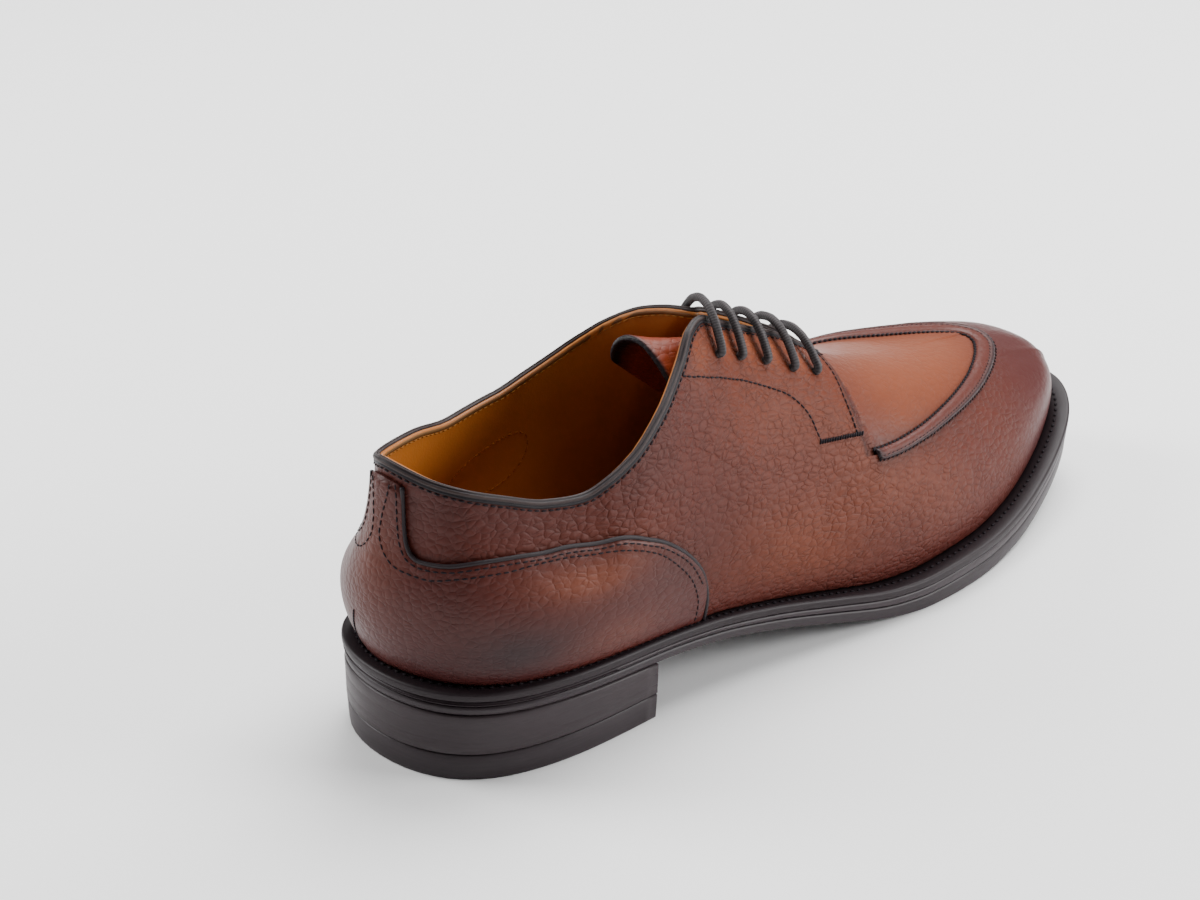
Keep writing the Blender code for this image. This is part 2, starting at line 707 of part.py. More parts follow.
def layer_heights():
    """Heights of the sole's layers as functions of the place along."""
    def outsole_top(along):
        body = edge_height(along) - WELT_THICK
        return underside(along) + body * (1.0 - MIDSOLE_SHARE)

    def midsole_low(along):
        return outsole_top(along) + FIT_GAP

    def midsole_top(along):
        return welt_top(along) - WELT_THICK - FIT_GAP

    def welt_low(along):
        return welt_top(along) - WELT_THICK

    return outsole_top, midsole_low, midsole_top, welt_low


def make_slab(name, low, high, inset, home, mat, chamfer=0.5):
    """Sole layer with softened edges."""
    sections = [
        outline_section(inset + chamfer, low),
        outline_section(inset, lambda y: low(y) + chamfer),
        outline_section(inset, lambda y: high(y) - chamfer),
        outline_section(inset + chamfer, high),
    ]
    return strip_solid(name, sections, home, mat)


def make_welt(home, mat):
    """Welt: a flat rim round the foot of the upper."""
    low = layer_heights()[3]

    def inner(s):
        return feather_inset(s) + WALL + WELT_TUCK

    sections = [
        outline_section(inner, low),
        outline_section(0.3, low),
        outline_section(0.0, lambda y: low(y) + 0.4),
        outline_section(0.0, lambda y: welt_top(y) - 0.6),
        outline_section(0.6, welt_top),
        outline_section(inner, welt_top),
    ]
    count = SOLE_ROUND
    points = [p for section in sections for p in section]
    faces = grid_faces(len(sections), count, closed=True)
    top = (len(sections) - 1) * count
    for i in range(count):
        j = (i + 1) % count
        faces.append((top + i, top + j, j, i))
    return mesh_object("welt", points, faces, home, mat)


def make_insole(home, mat):
    """Insole inside the upper's foot."""
    midsole_top = layer_heights()[2]

    def inset(s):
        return feather_inset(s) + WALL + WELT_TUCK + 0.4

    sections = [
        outline_section(inset, lambda y: midsole_top(y) + FIT_GAP),
        outline_section(inset, lambda y: welt_top(y) + INSOLE_THICK - 0.6),
        outline_section(lambda s: inset(s) + 0.6, lambda y: welt_top(y) + INSOLE_THICK),
    ]
    return strip_solid("insole", sections, home, mat)


def heel_outline(inset, height_at):
    """Closed outline of the heel, ending in a slightly hollow breast."""
    low = 0.05
    high = 0.30
    for _ in range(40):
        middle = (low + high) / 2.0
        if edge_point(middle, inset)[0][1] < BREAST_ALONG:
            low = middle
        else:
            high = middle
    outer_end = low
    low = 0.05
    high = 0.30
    for _ in range(40):
        middle = (low + high) / 2.0
        if edge_point(-middle, inset)[0][1] < BREAST_ALONG:
            low = middle
        else:
            high = middle
    inner_end = low
    steps = 20
    outer = [edge_point(outer_end * i / steps, inset)[0] for i in range(steps + 1)]
    inner = [edge_point(-inner_end * i / steps, inset)[0] for i in range(steps, 0, -1)]
    breast = []
    for i in range(1, 8):
        share = i / 8.0
        point = outer[-1] * (1.0 - share) + inner[0] * share
        hollow = BREAST_HOLLOW * 4.0 * share * (1.0 - share)
        breast.append(np.array([point[0], point[1] - hollow]))
    ring = outer + breast + inner
    return [(p[0], p[1], height_at(p[1])) for p in ring]


def heel_solid(name, low, high, home, mat, inset_low, inset_high):
    """Heel layer between two heights."""
    sections = [
        heel_outline(inset_low + 0.3, low),
        heel_outline(inset_low, lambda y: low(y) + 0.3),
        heel_outline(inset_high, lambda y: high(y) - 0.3),
        heel_outline(inset_high + 0.3, high),
    ]
    return strip_solid(name, sections, home, mat)


def make_heel(home, stack_mat, rubber_mat):
    """Heel in two parts: the stack under the sole and the top piece on the floor."""
    def stack_low(along):
        return TOP_PIECE_HEIGHT + FIT_GAP

    def stack_high(along):
        return underside(along) - FIT_GAP

    def piece_low(along):
        return 0.0

    def piece_high(along):
        return TOP_PIECE_HEIGHT

    heel_solid("heel_stack", stack_low, stack_high, home, stack_mat, HEEL_TAPER * 0.6, 0.6)
    heel_solid("top_piece", piece_low, piece_high, home, rubber_mat, HEEL_TAPER, HEEL_TAPER * 0.7)


def lace_point(outer, s, v, height):
    """Point over or under the facings, at a height from their outer face."""
    u = s / 2.0 if outer else 1.0 - s / 2.0
    return upper_surface(u, v) + surface_normal(u, min(v, 0.97)) * height


def lace_bar(outer, first, second, lift):
    """Points of one bar from hole to hole, arched just clear of the slot's edges."""
    start = lace_point(outer, *first, LACE_RISE)
    end = lace_point(not outer, *second, LACE_RISE)
    run = (end - start)[:2]
    peak = 0.0

    def arch(share):
        return (4.0 * share * (1.0 - share)) ** BAR_ROUND

    for side, (s, v) in ((outer, first), (not outer, second)):
        for share in (0.4, 0.7, 1.0):
            edge = lace_point(side, s, v + (1.0 - v) * share, LACE_RADIUS + 0.55)
            along = float(np.dot(edge[:2] - start[:2], run) / np.dot(run, run))
            level = start[2] * (1.0 - along) + end[2] * along
            peak = max(peak, (edge[2] - level) / arch(along))
    bar = []
    for share in (0.0, 0.08, 0.2, 0.35, 0.5, 0.65, 0.8, 0.92, 1.0):
        point = start * (1.0 - share) + end * share
        bar.append(point + np.array([0.0, 0.0, (peak + lift) * arch(share)]))
    return bar


def lace_path():
    """Points along the lace: bars over the slot, joined by runs under the facings."""
    below = -(WALL + LACE_RADIUS + 0.85)
    tables = {True: HOLES_OUTER, False: HOLES_INNER}
    path = []
    for i in range(len(HOLES_OUTER)):
        outer = i % 2 == 0
        first = tables[outer][i]
        second = tables[not outer][i]
        if i > 0:
            last = tables[outer][i - 1]
            middle = ((first[0] + last[0]) / 2.0, (first[1] + last[1]) / 2.0)
            path.append(lace_point(outer, *middle, below))
        path.append(lace_point(outer, *first, below))
        path.append(lace_point(outer, *first, -WALL * 0.5))
        path += lace_bar(outer, first, second, BAR_LIFT[i])
        path.append(lace_point(not outer, *second, -WALL * 0.5))
        path.append(lace_point(not outer, *second, below))
    return path


def make_lace(home, mat):
    """Lace as one round cord through all the holes."""
    path = plain_curve(lace_path(), 130)
    curve = bpy.data.curves.new("lace", "CURVE")
    curve.dimensions = "3D"
    curve.bevel_depth = LACE_RADIUS * MM
    curve.bevel_resolution = 1
    curve.use_fill_caps = True
    line = curve.splines.new("POLY")
    line.points.add(len(path) - 1)
    for slot, point in zip(line.points, path):
        slot.co = (*to_metres(point), 1.0)
    lace = bpy.data.objects.new("lace", curve)
    home.objects.link(lace)
    curve.materials.append(mat)
    return lace


def main():
    """Build every piece of the shoe."""
    for obj in list(bpy.data.objects):
        bpy.data.objects.remove(obj, do_unlink=True)
    shoe = collection("split_toe_derby")
    cutters = collection("cutters")
    leather = material("upper_leather", (0.26, 0.075, 0.045), 0.42)
    counter_leather = material("counter_leather", (0.24, 0.06, 0.04), 0.42)
    seam_leather = material("seam_leather", (0.16, 0.06, 0.05), 0.5)
    lining = material("tongue_leather", (0.30, 0.10, 0.05), 0.5)
    sock = material("insole_leather", (0.42, 0.20, 0.03), 0.55)
    welt_leather = material("welt_leather", (0.03, 0.018, 0.018), 0.45)
    mid_leather = material("midsole_leather", (0.07, 0.05, 0.055), 0.4)
    sole_rubber = material("outsole_rubber", (0.045, 0.035, 0.038), 0.55)
    stack_leather = material("heel_leather", (0.055, 0.04, 0.042), 0.4)
    top_rubber = material("top_piece_rubber", (0.035, 0.028, 0.03), 0.6)
    cord = material("lace_cord", (0.06, 0.05, 0.052), 0.6)

    outsole_top, midsole_low, midsole_top, _ = layer_heights()
    make_slab("outsole", underside, outsole_top, 0.6, shoe, sole_rubber)
    make_slab("midsole", midsole_low, midsole_top, 0.2, shoe, mid_leather, 0.3)
    make_welt(shoe, welt_leather)
    make_insole(shoe, sock)
    make_heel(shoe, stack_leather, top_rubber)

    make_upper(shoe, cutters, leather)
    make_counter(shoe, counter_leather)
    make_apron_seam(shoe, seam_leather)
    make_tongue(shoe, lining)
    make_lace(shoe, cord)


if __name__ == "__main__":
    main()
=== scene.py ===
"""Split toe derby, right shoe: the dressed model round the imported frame.

Lengths are in millimetres in the shoe's own layout: across is +X (wearer's right),
along runs from the back of the heel (0) to the toe, up is height over the floor.
"""

import math

import bpy
import numpy as np
from bpy.props import FloatProperty, FloatVectorProperty, PointerProperty
from mathutils import Matrix, Vector
from mathutils.bvhtree import BVHTree


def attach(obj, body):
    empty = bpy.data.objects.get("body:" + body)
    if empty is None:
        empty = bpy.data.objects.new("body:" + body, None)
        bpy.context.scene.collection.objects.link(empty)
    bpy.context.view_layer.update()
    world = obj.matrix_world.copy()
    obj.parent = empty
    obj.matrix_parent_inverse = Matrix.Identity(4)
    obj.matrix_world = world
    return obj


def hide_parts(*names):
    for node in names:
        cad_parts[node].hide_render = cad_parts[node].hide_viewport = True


bl_info = {
    "name": "Split Toe Derby",
    "version": (1, 0, 0),
    "blender": (4, 5, 0),
    "location": "View3D > Sidebar > Derby",
    "description": "Builds the pieces, finishes and stage of a split toe derby shoe",
    "category": "Object",
}

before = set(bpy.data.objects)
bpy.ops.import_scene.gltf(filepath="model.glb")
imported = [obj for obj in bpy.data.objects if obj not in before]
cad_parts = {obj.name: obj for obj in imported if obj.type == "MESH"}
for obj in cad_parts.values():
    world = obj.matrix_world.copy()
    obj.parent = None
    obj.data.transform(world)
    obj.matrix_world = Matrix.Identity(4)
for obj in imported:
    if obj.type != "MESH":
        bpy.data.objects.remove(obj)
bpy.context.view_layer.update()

MM = 0.001

# Sizes shared with the solids
WALL = 2.4
PLUG_RECESS = 1.1
RECESS_FADE = 0.14
FIT_GAP = 0.3
COUNTER_LIFT = 0.5
COUNTER_THICK = 1.1
WELT_THICK = 2.8
WELT_TUCK = 0.9
MIDSOLE_SHARE = 0.42
INSOLE_THICK = 3.2
TONGUE_THICK = 2.2
TONGUE_ROOM = 2.2
TOP_PIECE_HEIGHT = 8.6
HEEL_TAPER = 1.4
BREAST_ALONG = 77.5
BREAST_HOLLOW = 2.5
LACE_RADIUS = 1.25
LACE_RISE = 1.5

# Outer edge of the sole seen from above: across, along.
# From the back of the heel up the outer side to the toe, then back down the inner side.
SOLE_EDGE = (
    (-1.0, 1.6), (16.1, 5.3), (28.8, 15.1), (36.7, 32.7), (39.6, 59.9), (39.2, 89.9),
    (40.6, 119.8), (44.9, 149.7), (49.6, 179.8), (49.9, 205.0), (44.8, 234.5),
    (35.8, 261.0), (26.0, 282.0), (14.5, 297.6), (1.0, 304.5),
    (-15.5, 301.6), (-30.5, 291.0), (-41.5, 273.0), (-47.8, 250.0), (-49.9, 223.0),
    (-46.4, 195.0), (-37.3, 160.0), (-30.5, 130.0), (-30.0, 100.0), (-33.5, 65.0),
    (-35.5, 33.0), (-29.8, 13.5), (-17.0, 4.2),
)
TOE_ROW = 14

# Underside of the sole: along, up.
SOLE_UNDERSIDE = (
    (0.0, 22.9), (76.0, 19.6), (100.0, 17.0), (125.0, 12.4), (150.0, 6.6), (175.0, 1.2),
    (190.0, 0.0), (215.0, 0.0), (240.0, 1.7), (265.0, 6.0), (285.0, 11.0), (305.0, 17.4),
)

# Height of the sole's edge from underside to welt top: along, thick.
SOLE_EDGE_HEIGHT = ((0.0, 7.6), (80.0, 7.8), (150.0, 9.6), (215.0, 12.4), (305.0, 12.4))

# How far the upper's foot stands in from the sole's edge: station, inset.
FEATHER_INSET = (
    (0.0, 6.2), (0.05, 6.8), (0.10, 6.2), (0.15, 5.0), (0.20, 4.2), (0.30, 3.6), (0.40, 4.2),
    (0.50, 5.8), (0.60, 7.5), (0.70, 7.9), (0.85, 7.9), (1.0, 7.6),
)

# Top line of the outer side: station, across, along, up.
TOP_OUTER = (
    (0.0, -1.5, 8.2, 95.6), (0.05, 12.0, 12.1, 93.0), (0.10, 20.5, 18.6, 90.6),
    (0.14, 25.0, 31.0, 86.0), (0.175, 27.6, 43.0, 81.8), (0.21, 29.5, 55.0, 80.2),
    (0.245, 30.4, 65.0, 82.8), (0.27, 29.8, 73.5, 85.9), (0.31, 25.5, 88.7, 93.7),
    (0.35, 18.0, 103.3, 101.9), (0.378, 12.6, 112.5, 108.4), (0.40, 9.8, 119.0, 109.5),
    (0.43, 8.2, 129.2, 104.8), (0.46, 7.6, 140.5, 99.5), (0.50, 7.2, 154.8, 92.9),
    (0.535, 7.0, 165.6, 86.1), (0.562, 6.6, 175.2, 80.2),
)
# Top line of the inner side: station, across, along, up.
TOP_INNER = (
    (0.0, -1.5, 8.2, 95.6), (0.03, -8.0, 10.4, 93.9), (0.055, -14.0, 16.8, 91.4),
    (0.10, -21.0, 33.6, 88.7), (0.155, -27.0, 52.2, 84.6), (0.215, -30.5, 71.9, 84.9),
    (0.255, -31.5, 86.4, 87.4), (0.295, -30.3, 99.6, 91.7), (0.325, -26.5, 110.1, 96.9),
    (0.345, -21.0, 115.8, 101.1), (0.36, -15.5, 119.0, 104.1), (0.38, -8.0, 122.3, 106.3),
    (0.405, 1.6, 126.0, 107.9), (0.43, 2.2, 134.9, 104.4), (0.47, 2.4, 148.7, 97.2),
    (0.515, 2.6, 162.2, 89.6), (0.562, 3.4, 175.6, 80.1),
)
# Middle line of the forefoot, shared by both sides: station, across, along, up.
RIDGE = (
    (0.575, 5.0, 179.0, 78.8), (0.60, 4.2, 187.5, 75.2), (0.65, 1.8, 205.0, 69.3),
    (0.70, -1.0, 221.0, 64.5), (0.75, -3.8, 236.0, 60.7), (0.80, -6.2, 249.0, 57.6),
    (0.85, -8.0, 259.5, 55.0), (0.90, -9.2, 267.5, 53.1), (0.95, -9.8, 272.3, 52.0),
    (1.0, -10.0, 274.0, 51.6),
)

# Shape of each side from foot to top line. Low and wall points are measured from the
# foot, shoulder and crown points back from the top line.
# station, low out, low up, wall out, wall up, shoulder out, shoulder drop, crown out, crown drop
PROFILE_OUTER = (
    (0.00, 4.6, 7.0, 7.6, 25.0, 2.6, 27.0, 0.2, 11.0),
    (0.08, 4.4, 7.0, 7.2, 24.0, 4.6, 25.0, 1.2, 10.0),
    (0.16, 3.6, 6.5, 5.8, 21.0, 6.6, 21.0, 2.2, 8.0),
    (0.27, 2.8, 6.0, 4.6, 20.0, 8.0, 23.0, 2.8, 8.0),
    (0.34, 2.2, 6.0, 4.6, 22.0, 15.0, 31.0, 5.5, 10.0),
    (0.41, 2.0, 6.0, 4.6, 24.0, 21.0, 34.0, 7.0, 9.5),
    (0.50, 2.0, 5.5, 4.2, 22.0, 24.0, 25.0, 9.5, 6.0),
    (0.58, 1.8, 5.0, 3.8, 20.0, 28.0, 15.0, 12.0, 1.6),
    (0.70, 1.4, 5.0, 3.0, 17.0, 28.5, 10.5, 13.0, 0.0),
    (0.80, 1.2, 5.0, 2.2, 15.0, 25.5, 9.5, 12.0, 0.0),
    (0.90, 1.0, 4.5, 1.8, 13.0, 22.0, 7.0, 10.0, 0.0),
    (1.00, 1.0, 4.5, 1.6, 11.5, 20.5, 3.5, 10.0, 0.0),
)
PROFILE_INNER = (
    (0.00, 4.6, 7.0, 7.6, 25.0, 2.6, 27.0, 0.2, 11.0),
    (0.08, 4.2, 7.0, 6.8, 24.0, 3.8, 25.0, 1.0, 10.0),
    (0.16, 3.2, 6.5, 5.0, 21.0, 4.6, 21.0, 1.6, 8.0),
    (0.27, 2.6, 6.0, 4.6, 20.0, 6.0, 23.0, 2.0, 8.0),
    (0.34, 3.0, 7.0, 6.0, 24.0, 12.0, 28.0, 4.5, 9.0),
    (0.41, 3.4, 8.0, 6.6, 26.0, 21.0, 30.0, 8.0, 8.0),
    (0.50, 2.6, 6.5, 5.0, 24.0, 22.0, 21.0, 9.0, 5.0),
    (0.58, 1.8, 5.0, 3.8, 22.0, 30.0, 11.0, 13.0, 1.0),
    (0.70, 1.6, 5.0, 3.4, 20.0, 32.5, 5.0, 16.0, 0.0),
    (0.80, 1.4, 5.0, 3.0, 18.0, 29.0, 3.5, 14.0, 0.0),
    (0.90, 1.2, 4.5, 2.4, 15.0, 22.0, 2.5, 11.0, 0.0),
    (1.00, 1.0, 4.5, 1.6, 11.5, 20.5, 3.5, 10.0, 0.0),
)
THROAT = RIDGE[0][0]
THROAT_BLEND = 0.035
RIDGE_STEP = 0.02

# Upper edge of the heel counter: station, height share.
COUNTER_EDGE = (
    (0.0, 0.955), (0.026, 0.95), (0.030, 0.80), (0.038, 0.70), (0.049, 0.677), (0.069, 0.682),
    (0.109, 0.717), (0.148, 0.756), (0.191, 0.800), (0.238, 0.753), (0.274, 0.625),
    (0.299, 0.508), (0.321, 0.386), (0.336, 0.265), (0.344, 0.12), (0.346, 0.0),
)
COUNTER_END = COUNTER_EDGE[-1][0]

# Front edge of the facings: height share, station.
FACING_FRONT = ((0.0, 0.5545), (0.66, 0.5545), (0.78, 0.5555), (0.90, 0.5600), (1.0, 0.5610))
FACING_STEP = 0.0018

# Middle of the raised seam round the apron: station, height share.
APRON_OUTER = (
    (0.50, 0.580), (0.566, 0.580), (0.597, 0.584), (0.638, 0.610), (0.695, 0.659),
    (0.760, 0.714), (0.819, 0.789), (0.852, 0.845), (0.885, 0.915), (0.908, 0.970),
    (0.93, 1.0), (1.0, 1.0),
)
APRON_INNER = (
    (0.50, 0.697), (0.562, 0.697), (0.584, 0.689), (0.621, 0.719), (0.668, 0.795),
    (0.727, 0.858), (0.782, 0.890), (0.833, 0.917), (0.877, 0.961), (0.91, 1.0), (1.0, 1.0),
)
# The same seam seen from above: across, along.
APRON_PLAN = (
    (36.0, 173.5), (35.0, 184.0), (32.5, 198.5), (27.0, 217.8), (19.0, 238.0), (10.0, 254.5),
    (4.5, 262.0), (-1.0, 267.2), (-6.5, 269.0), (-11.8, 266.6), (-15.4, 259.5), (-17.4, 247.0),
    (-18.9, 231.0), (-21.0, 212.0), (-23.0, 196.0), (-22.2, 183.0), (-21.6, 176.0),
)

# Lace holes: station and height share on each side, from the top down.
HOLES_OUTER = ((0.410, 0.895), (0.439, 0.900), (0.468, 0.893), (0.498, 0.873), (0.529, 0.874))
HOLES_INNER = ((0.413, 0.872), (0.439, 0.874), (0.465, 0.878), (0.495, 0.876), (0.529, 0.880))

# Extra rise of each lace bar, from the top down.
BAR_LIFT = (0.4, 0.9, 1.6, 2.2, 2.0)
BAR_ROUND = 0.85


def smooth_table(rows, column=1, flat_ends=False):
    """Return a smooth curve through a table's column, level at both ends if asked."""
    xs = np.array([row[0] for row in rows])
    ys = np.array([row[column] for row in rows])
    widths = np.diff(xs)
    slopes = np.diff(ys) / widths
    tangents = np.empty(len(xs))
    tangents[0] = 0.0 if flat_ends else slopes[0]
    tangents[-1] = 0.0 if flat_ends else slopes[-1]
    for i in range(1, len(xs) - 1):
        if slopes[i - 1] * slopes[i] <= 0.0:
            tangents[i] = 0.0
        else:
            near = 2.0 * widths[i] + widths[i - 1]
            far = widths[i] + 2.0 * widths[i - 1]
            tangents[i] = (near + far) / (near / slopes[i - 1] + far / slopes[i])

    def value(x):
        x = min(max(x, xs[0]), xs[-1])
        i = min(int(np.searchsorted(xs, x, side="right")) - 1, len(xs) - 2)
        t = (x - xs[i]) / widths[i]
        rise = ys[i] * (1 + 2 * t) * (1 - t) ** 2 + ys[i + 1] * t * t * (3 - 2 * t)
        lean = widths[i] * t * (1 - t) * (tangents[i] * (1 - t) - tangents[i + 1] * t)
        return float(rise + lean)

    return value


def closed_spline(points):
    """Return a smooth closed curve through points, its knots and its whole length."""
    pts = np.array(points, float)
    count = len(pts)
    steps = np.linalg.norm(np.roll(pts, -1, axis=0) - pts, axis=1)
    knots = np.concatenate([[0.0], np.cumsum(steps)])
    matrix = np.zeros((count, count))
    right = np.zeros((count, 2))
    for i in range(count):
        before = steps[i - 1]
        after = steps[i]
        matrix[i, (i - 1) % count] += after
        matrix[i, i] += 2.0 * (before + after)
        matrix[i, (i + 1) % count] += before
        lean_in = (pts[i] - pts[i - 1]) / before
        lean_out = (pts[(i + 1) % count] - pts[i]) / after
        right[i] = 3.0 * (after * lean_in + before * lean_out)
    tangents = np.linalg.solve(matrix, right)

    def value(d):
        d = d % knots[-1]
        i = min(int(np.searchsorted(knots, d, side="right")) - 1, count - 1)
        width = steps[i]
        t = (d - knots[i]) / width
        j = (i + 1) % count
        rise = pts[i] * (1 + 2 * t) * (1 - t) ** 2 + pts[j] * t * t * (3 - 2 * t)
        lean = width * t * (1 - t) * (tangents[i] * (1 - t) - tangents[j] * t)
        return rise + lean

    return value, knots, knots[-1]


edge_curve, EDGE_KNOTS, EDGE_LENGTH = closed_spline(SOLE_EDGE)
underside = smooth_table(SOLE_UNDERSIDE)
edge_height = smooth_table(SOLE_EDGE_HEIGHT)
feather_inset = smooth_table(FEATHER_INSET, 1, True)
top_outer = [smooth_table(TOP_OUTER + RIDGE, c, c > 1) for c in (1, 2, 3)]
top_inner = [smooth_table(TOP_INNER + RIDGE, c, c > 1) for c in (1, 2, 3)]
profile_outer = [smooth_table(PROFILE_OUTER, c, True) for c in range(1, 9)]
profile_inner = [smooth_table(PROFILE_INNER, c, True) for c in range(1, 9)]


def side_of(u):
    """Split a place round the shoe into a side and a station from heel to toe."""
    u = u % 1.0
    if u <= 0.5:
        return True, 2.0 * u
    return False, 2.0 * (1.0 - u)


def edge_place(u):
    """Distance along the sole's edge for a place round the shoe."""
    toe = EDGE_KNOTS[TOE_ROW]
    outer, s = side_of(u)
    if outer:
        return s * toe
    return EDGE_LENGTH - s * (EDGE_LENGTH - toe)


def edge_point(u, inset=0.0):
    """Point of the sole's outline, moved in by an inset, with its outward direction."""
    place = edge_place(u)
    here = edge_curve(place)
    step = edge_curve(place + 0.5) - edge_curve(place - 0.5)
    step = step / np.linalg.norm(step)
    outward = np.array([step[1], -step[0]])
    return here - outward * inset, outward


def welt_top(along):
    """Height of the welt's upper face."""
    return underside(along) + edge_height(along)


def profile_points(u):
    """Six control points of the upper's section at a place round the shoe."""
    outer, s = side_of(u)
    foot_xy, outward = edge_point(u, feather_inset(s))
    foot = np.array([foot_xy[0], foot_xy[1], welt_top(foot_xy[1]) + FIT_GAP])
    curves = top_outer if outer else top_inner
    top = np.array([curve(s) for curve in curves])
    shape = [curve(s) for curve in (profile_outer if outer else profile_inner)]
    low_out, low_up, wall_out, wall_up, shoulder_out, shoulder_drop, crown_out, crown_drop = shape
    away = foot[:2] - top[:2] + outward * 10.0
    away = away / np.linalg.norm(away)
    ahead = min(max(s, THROAT) + RIDGE_STEP, 1.0)
    behind = ahead - RIDGE_STEP
    rise = curves[2](ahead) - curves[2](behind)
    run = curves[1](ahead) - curves[1](behind)
    slope = rise / run * min(max((s - THROAT) / THROAT_BLEND + 1.0, 0.0), 1.0)
    up = np.array([0.0, 0.0, 1.0])
    flat_out = np.array([outward[0], outward[1], 0.0])
    flat_away = np.array([away[0], away[1], 0.0])
    return np.array([
        foot,
        foot + flat_out * low_out + up * low_up,
        foot + flat_out * wall_out + up * wall_up,
        top + flat_away * shoulder_out
        + up * (slope * away[1] * shoulder_out * 0.6 - shoulder_drop),
        top + flat_away * crown_out + up * (slope * away[1] * crown_out - crown_drop),
        top,
    ])


SPLINE_KNOTS = (0.0, 0.0, 0.0, 0.0, 1.0, 2.0, 3.0, 3.0, 3.0, 3.0)


def spline_weights(v):
    """Weights of the six control points at a height share v from foot (0) to top (1)."""
    t = min(max(v, 0.0), 0.999999) * 3.0
    knots = SPLINE_KNOTS
    weights = [1.0 if knots[i] <= t < knots[i + 1] else 0.0 for i in range(9)]
    for degree in (1, 2, 3):
        for i in range(9 - degree):
            left = knots[i + degree] - knots[i]
            right = knots[i + degree + 1] - knots[i + 1]
            first = (t - knots[i]) / left * weights[i] if left > 0.0 else 0.0
            second = (knots[i + degree + 1] - t) / right * weights[i + 1] if right > 0.0 else 0.0
            weights[i] = first + second
    return np.array(weights[:6])


def upper_surface(u, v):
    """Point of the smooth upper: u runs round the shoe, v from foot to top line."""
    return spline_weights(v) @ profile_points(u)


def surface_normal(u, v):
    """Direction out of the upper at a place on it."""
    step_u = 0.002
    step_v = 0.01
    low = max(v - step_v, 0.0)
    high = min(v + step_v, 1.0)
    round_step = upper_surface(u + step_u, v) - upper_surface(u - step_u, v)
    rise_step = upper_surface(u, high) - upper_surface(u, low)
    normal = np.cross(round_step, rise_step)
    return normal / np.linalg.norm(normal)


apron_share_outer = smooth_table(APRON_OUTER)
apron_share_inner = smooth_table(APRON_INNER)
facing_front = smooth_table(FACING_FRONT)
counter_share = smooth_table(COUNTER_EDGE)

EDGE_SAMPLES = np.array([edge_point(i / 400.0)[0] for i in range(400)])
CENTRE = (EDGE_SAMPLES.min(axis=0) + EDGE_SAMPLES.max(axis=0)) / 2.0


def apron_share(outer, s):
    """Height share of the apron's edge at a station."""
    return apron_share_outer(s) if outer else apron_share_inner(s)


def facing_shift(s, v):
    """Move of a station so that columns run along the facing's front edge."""
    front = FACING_FRONT[0][1]
    reach = 0.055 if s < front else 0.0125
    near = max(0.0, 1.0 - max(abs(s - front) - FACING_STEP, 0.0) / reach)
    return (facing_front(v) - front) * near


def recess(outer, s, v):
    """Depth of the apron panel below the walls around it, fading out at the toe."""
    edge = apron_share(outer, s)
    if s <= facing_front(v) or v <= edge + 0.001:
        return 0.0
    return PLUG_RECESS * min(1.0, (1.0 - edge) / RECESS_FADE)


def spread(start, end, count):
    """Evenly spaced values from start up to, not including, end."""
    return [start + (end - start) * i / count for i in range(count)]


def plain_curve(points, count):
    """Evenly spaced points along a smooth open curve."""
    pts = np.array(points, float)
    steps = np.linalg.norm(np.diff(pts, axis=0), axis=1)
    knots = np.concatenate([[0.0], np.cumsum(steps)])
    curves = [smooth_table([(k, p[a]) for k, p in zip(knots, pts)]) for a in range(pts.shape[1])]
    places = np.linspace(0.0, knots[-1], count)
    return np.array([[curve(place) for curve in curves] for place in places])


def layer_heights():
    """Heights of the sole's layers as functions of the place along."""
    def outsole_top(along):
        body = edge_height(along) - WELT_THICK
        return underside(along) + body * (1.0 - MIDSOLE_SHARE)

    def midsole_low(along):
        return outsole_top(along) + FIT_GAP

    def midsole_top(along):
        return welt_top(along) - WELT_THICK - FIT_GAP

    def welt_low(along):
        return welt_top(along) - WELT_THICK

    return outsole_top, midsole_low, midsole_top, welt_low


def heel_end(inset, turn):
    """Place round the shoe, towards one side, where the heel's breast starts."""
    low = 0.05
    high = 0.30
    for _ in range(40):
        middle = (low + high) / 2.0
        if edge_point(turn * middle, inset)[0][1] < BREAST_ALONG:
            low = middle
        else:
            high = middle
    return turn * low


def heel_outline(inset, height_at):
    """Closed outline of the heel, ending in a slightly hollow breast."""
    steps = 20
    outer_end = heel_end(inset, 1.0)
    inner_end = heel_end(inset, -1.0)
    outer = [edge_point(outer_end * i / steps, inset)[0] for i in range(steps + 1)]
    inner = [edge_point(inner_end * i / steps, inset)[0] for i in range(steps, 0, -1)]
    breast = []
    for i in range(1, 8):
        share = i / 8.0
        point = outer[-1] * (1.0 - share) + inner[0] * share
        hollow = BREAST_HOLLOW * 4.0 * share * (1.0 - share)
        breast.append(np.array([point[0], point[1] - hollow]))
    ring = outer + breast + inner
    return [(p[0], p[1], height_at(p[1])) for p in ring]


def place_round(outer, s):
    """Place round the shoe for a side and a station."""
    return s / 2.0 if outer else 1.0 - s / 2.0


def lifted_point(outer, s, v, height):
    """Point over or under the upper, at a height from its outer face."""
    u = place_round(outer, s)
    return upper_surface(u, v) + surface_normal(u, min(v, 0.97)) * height


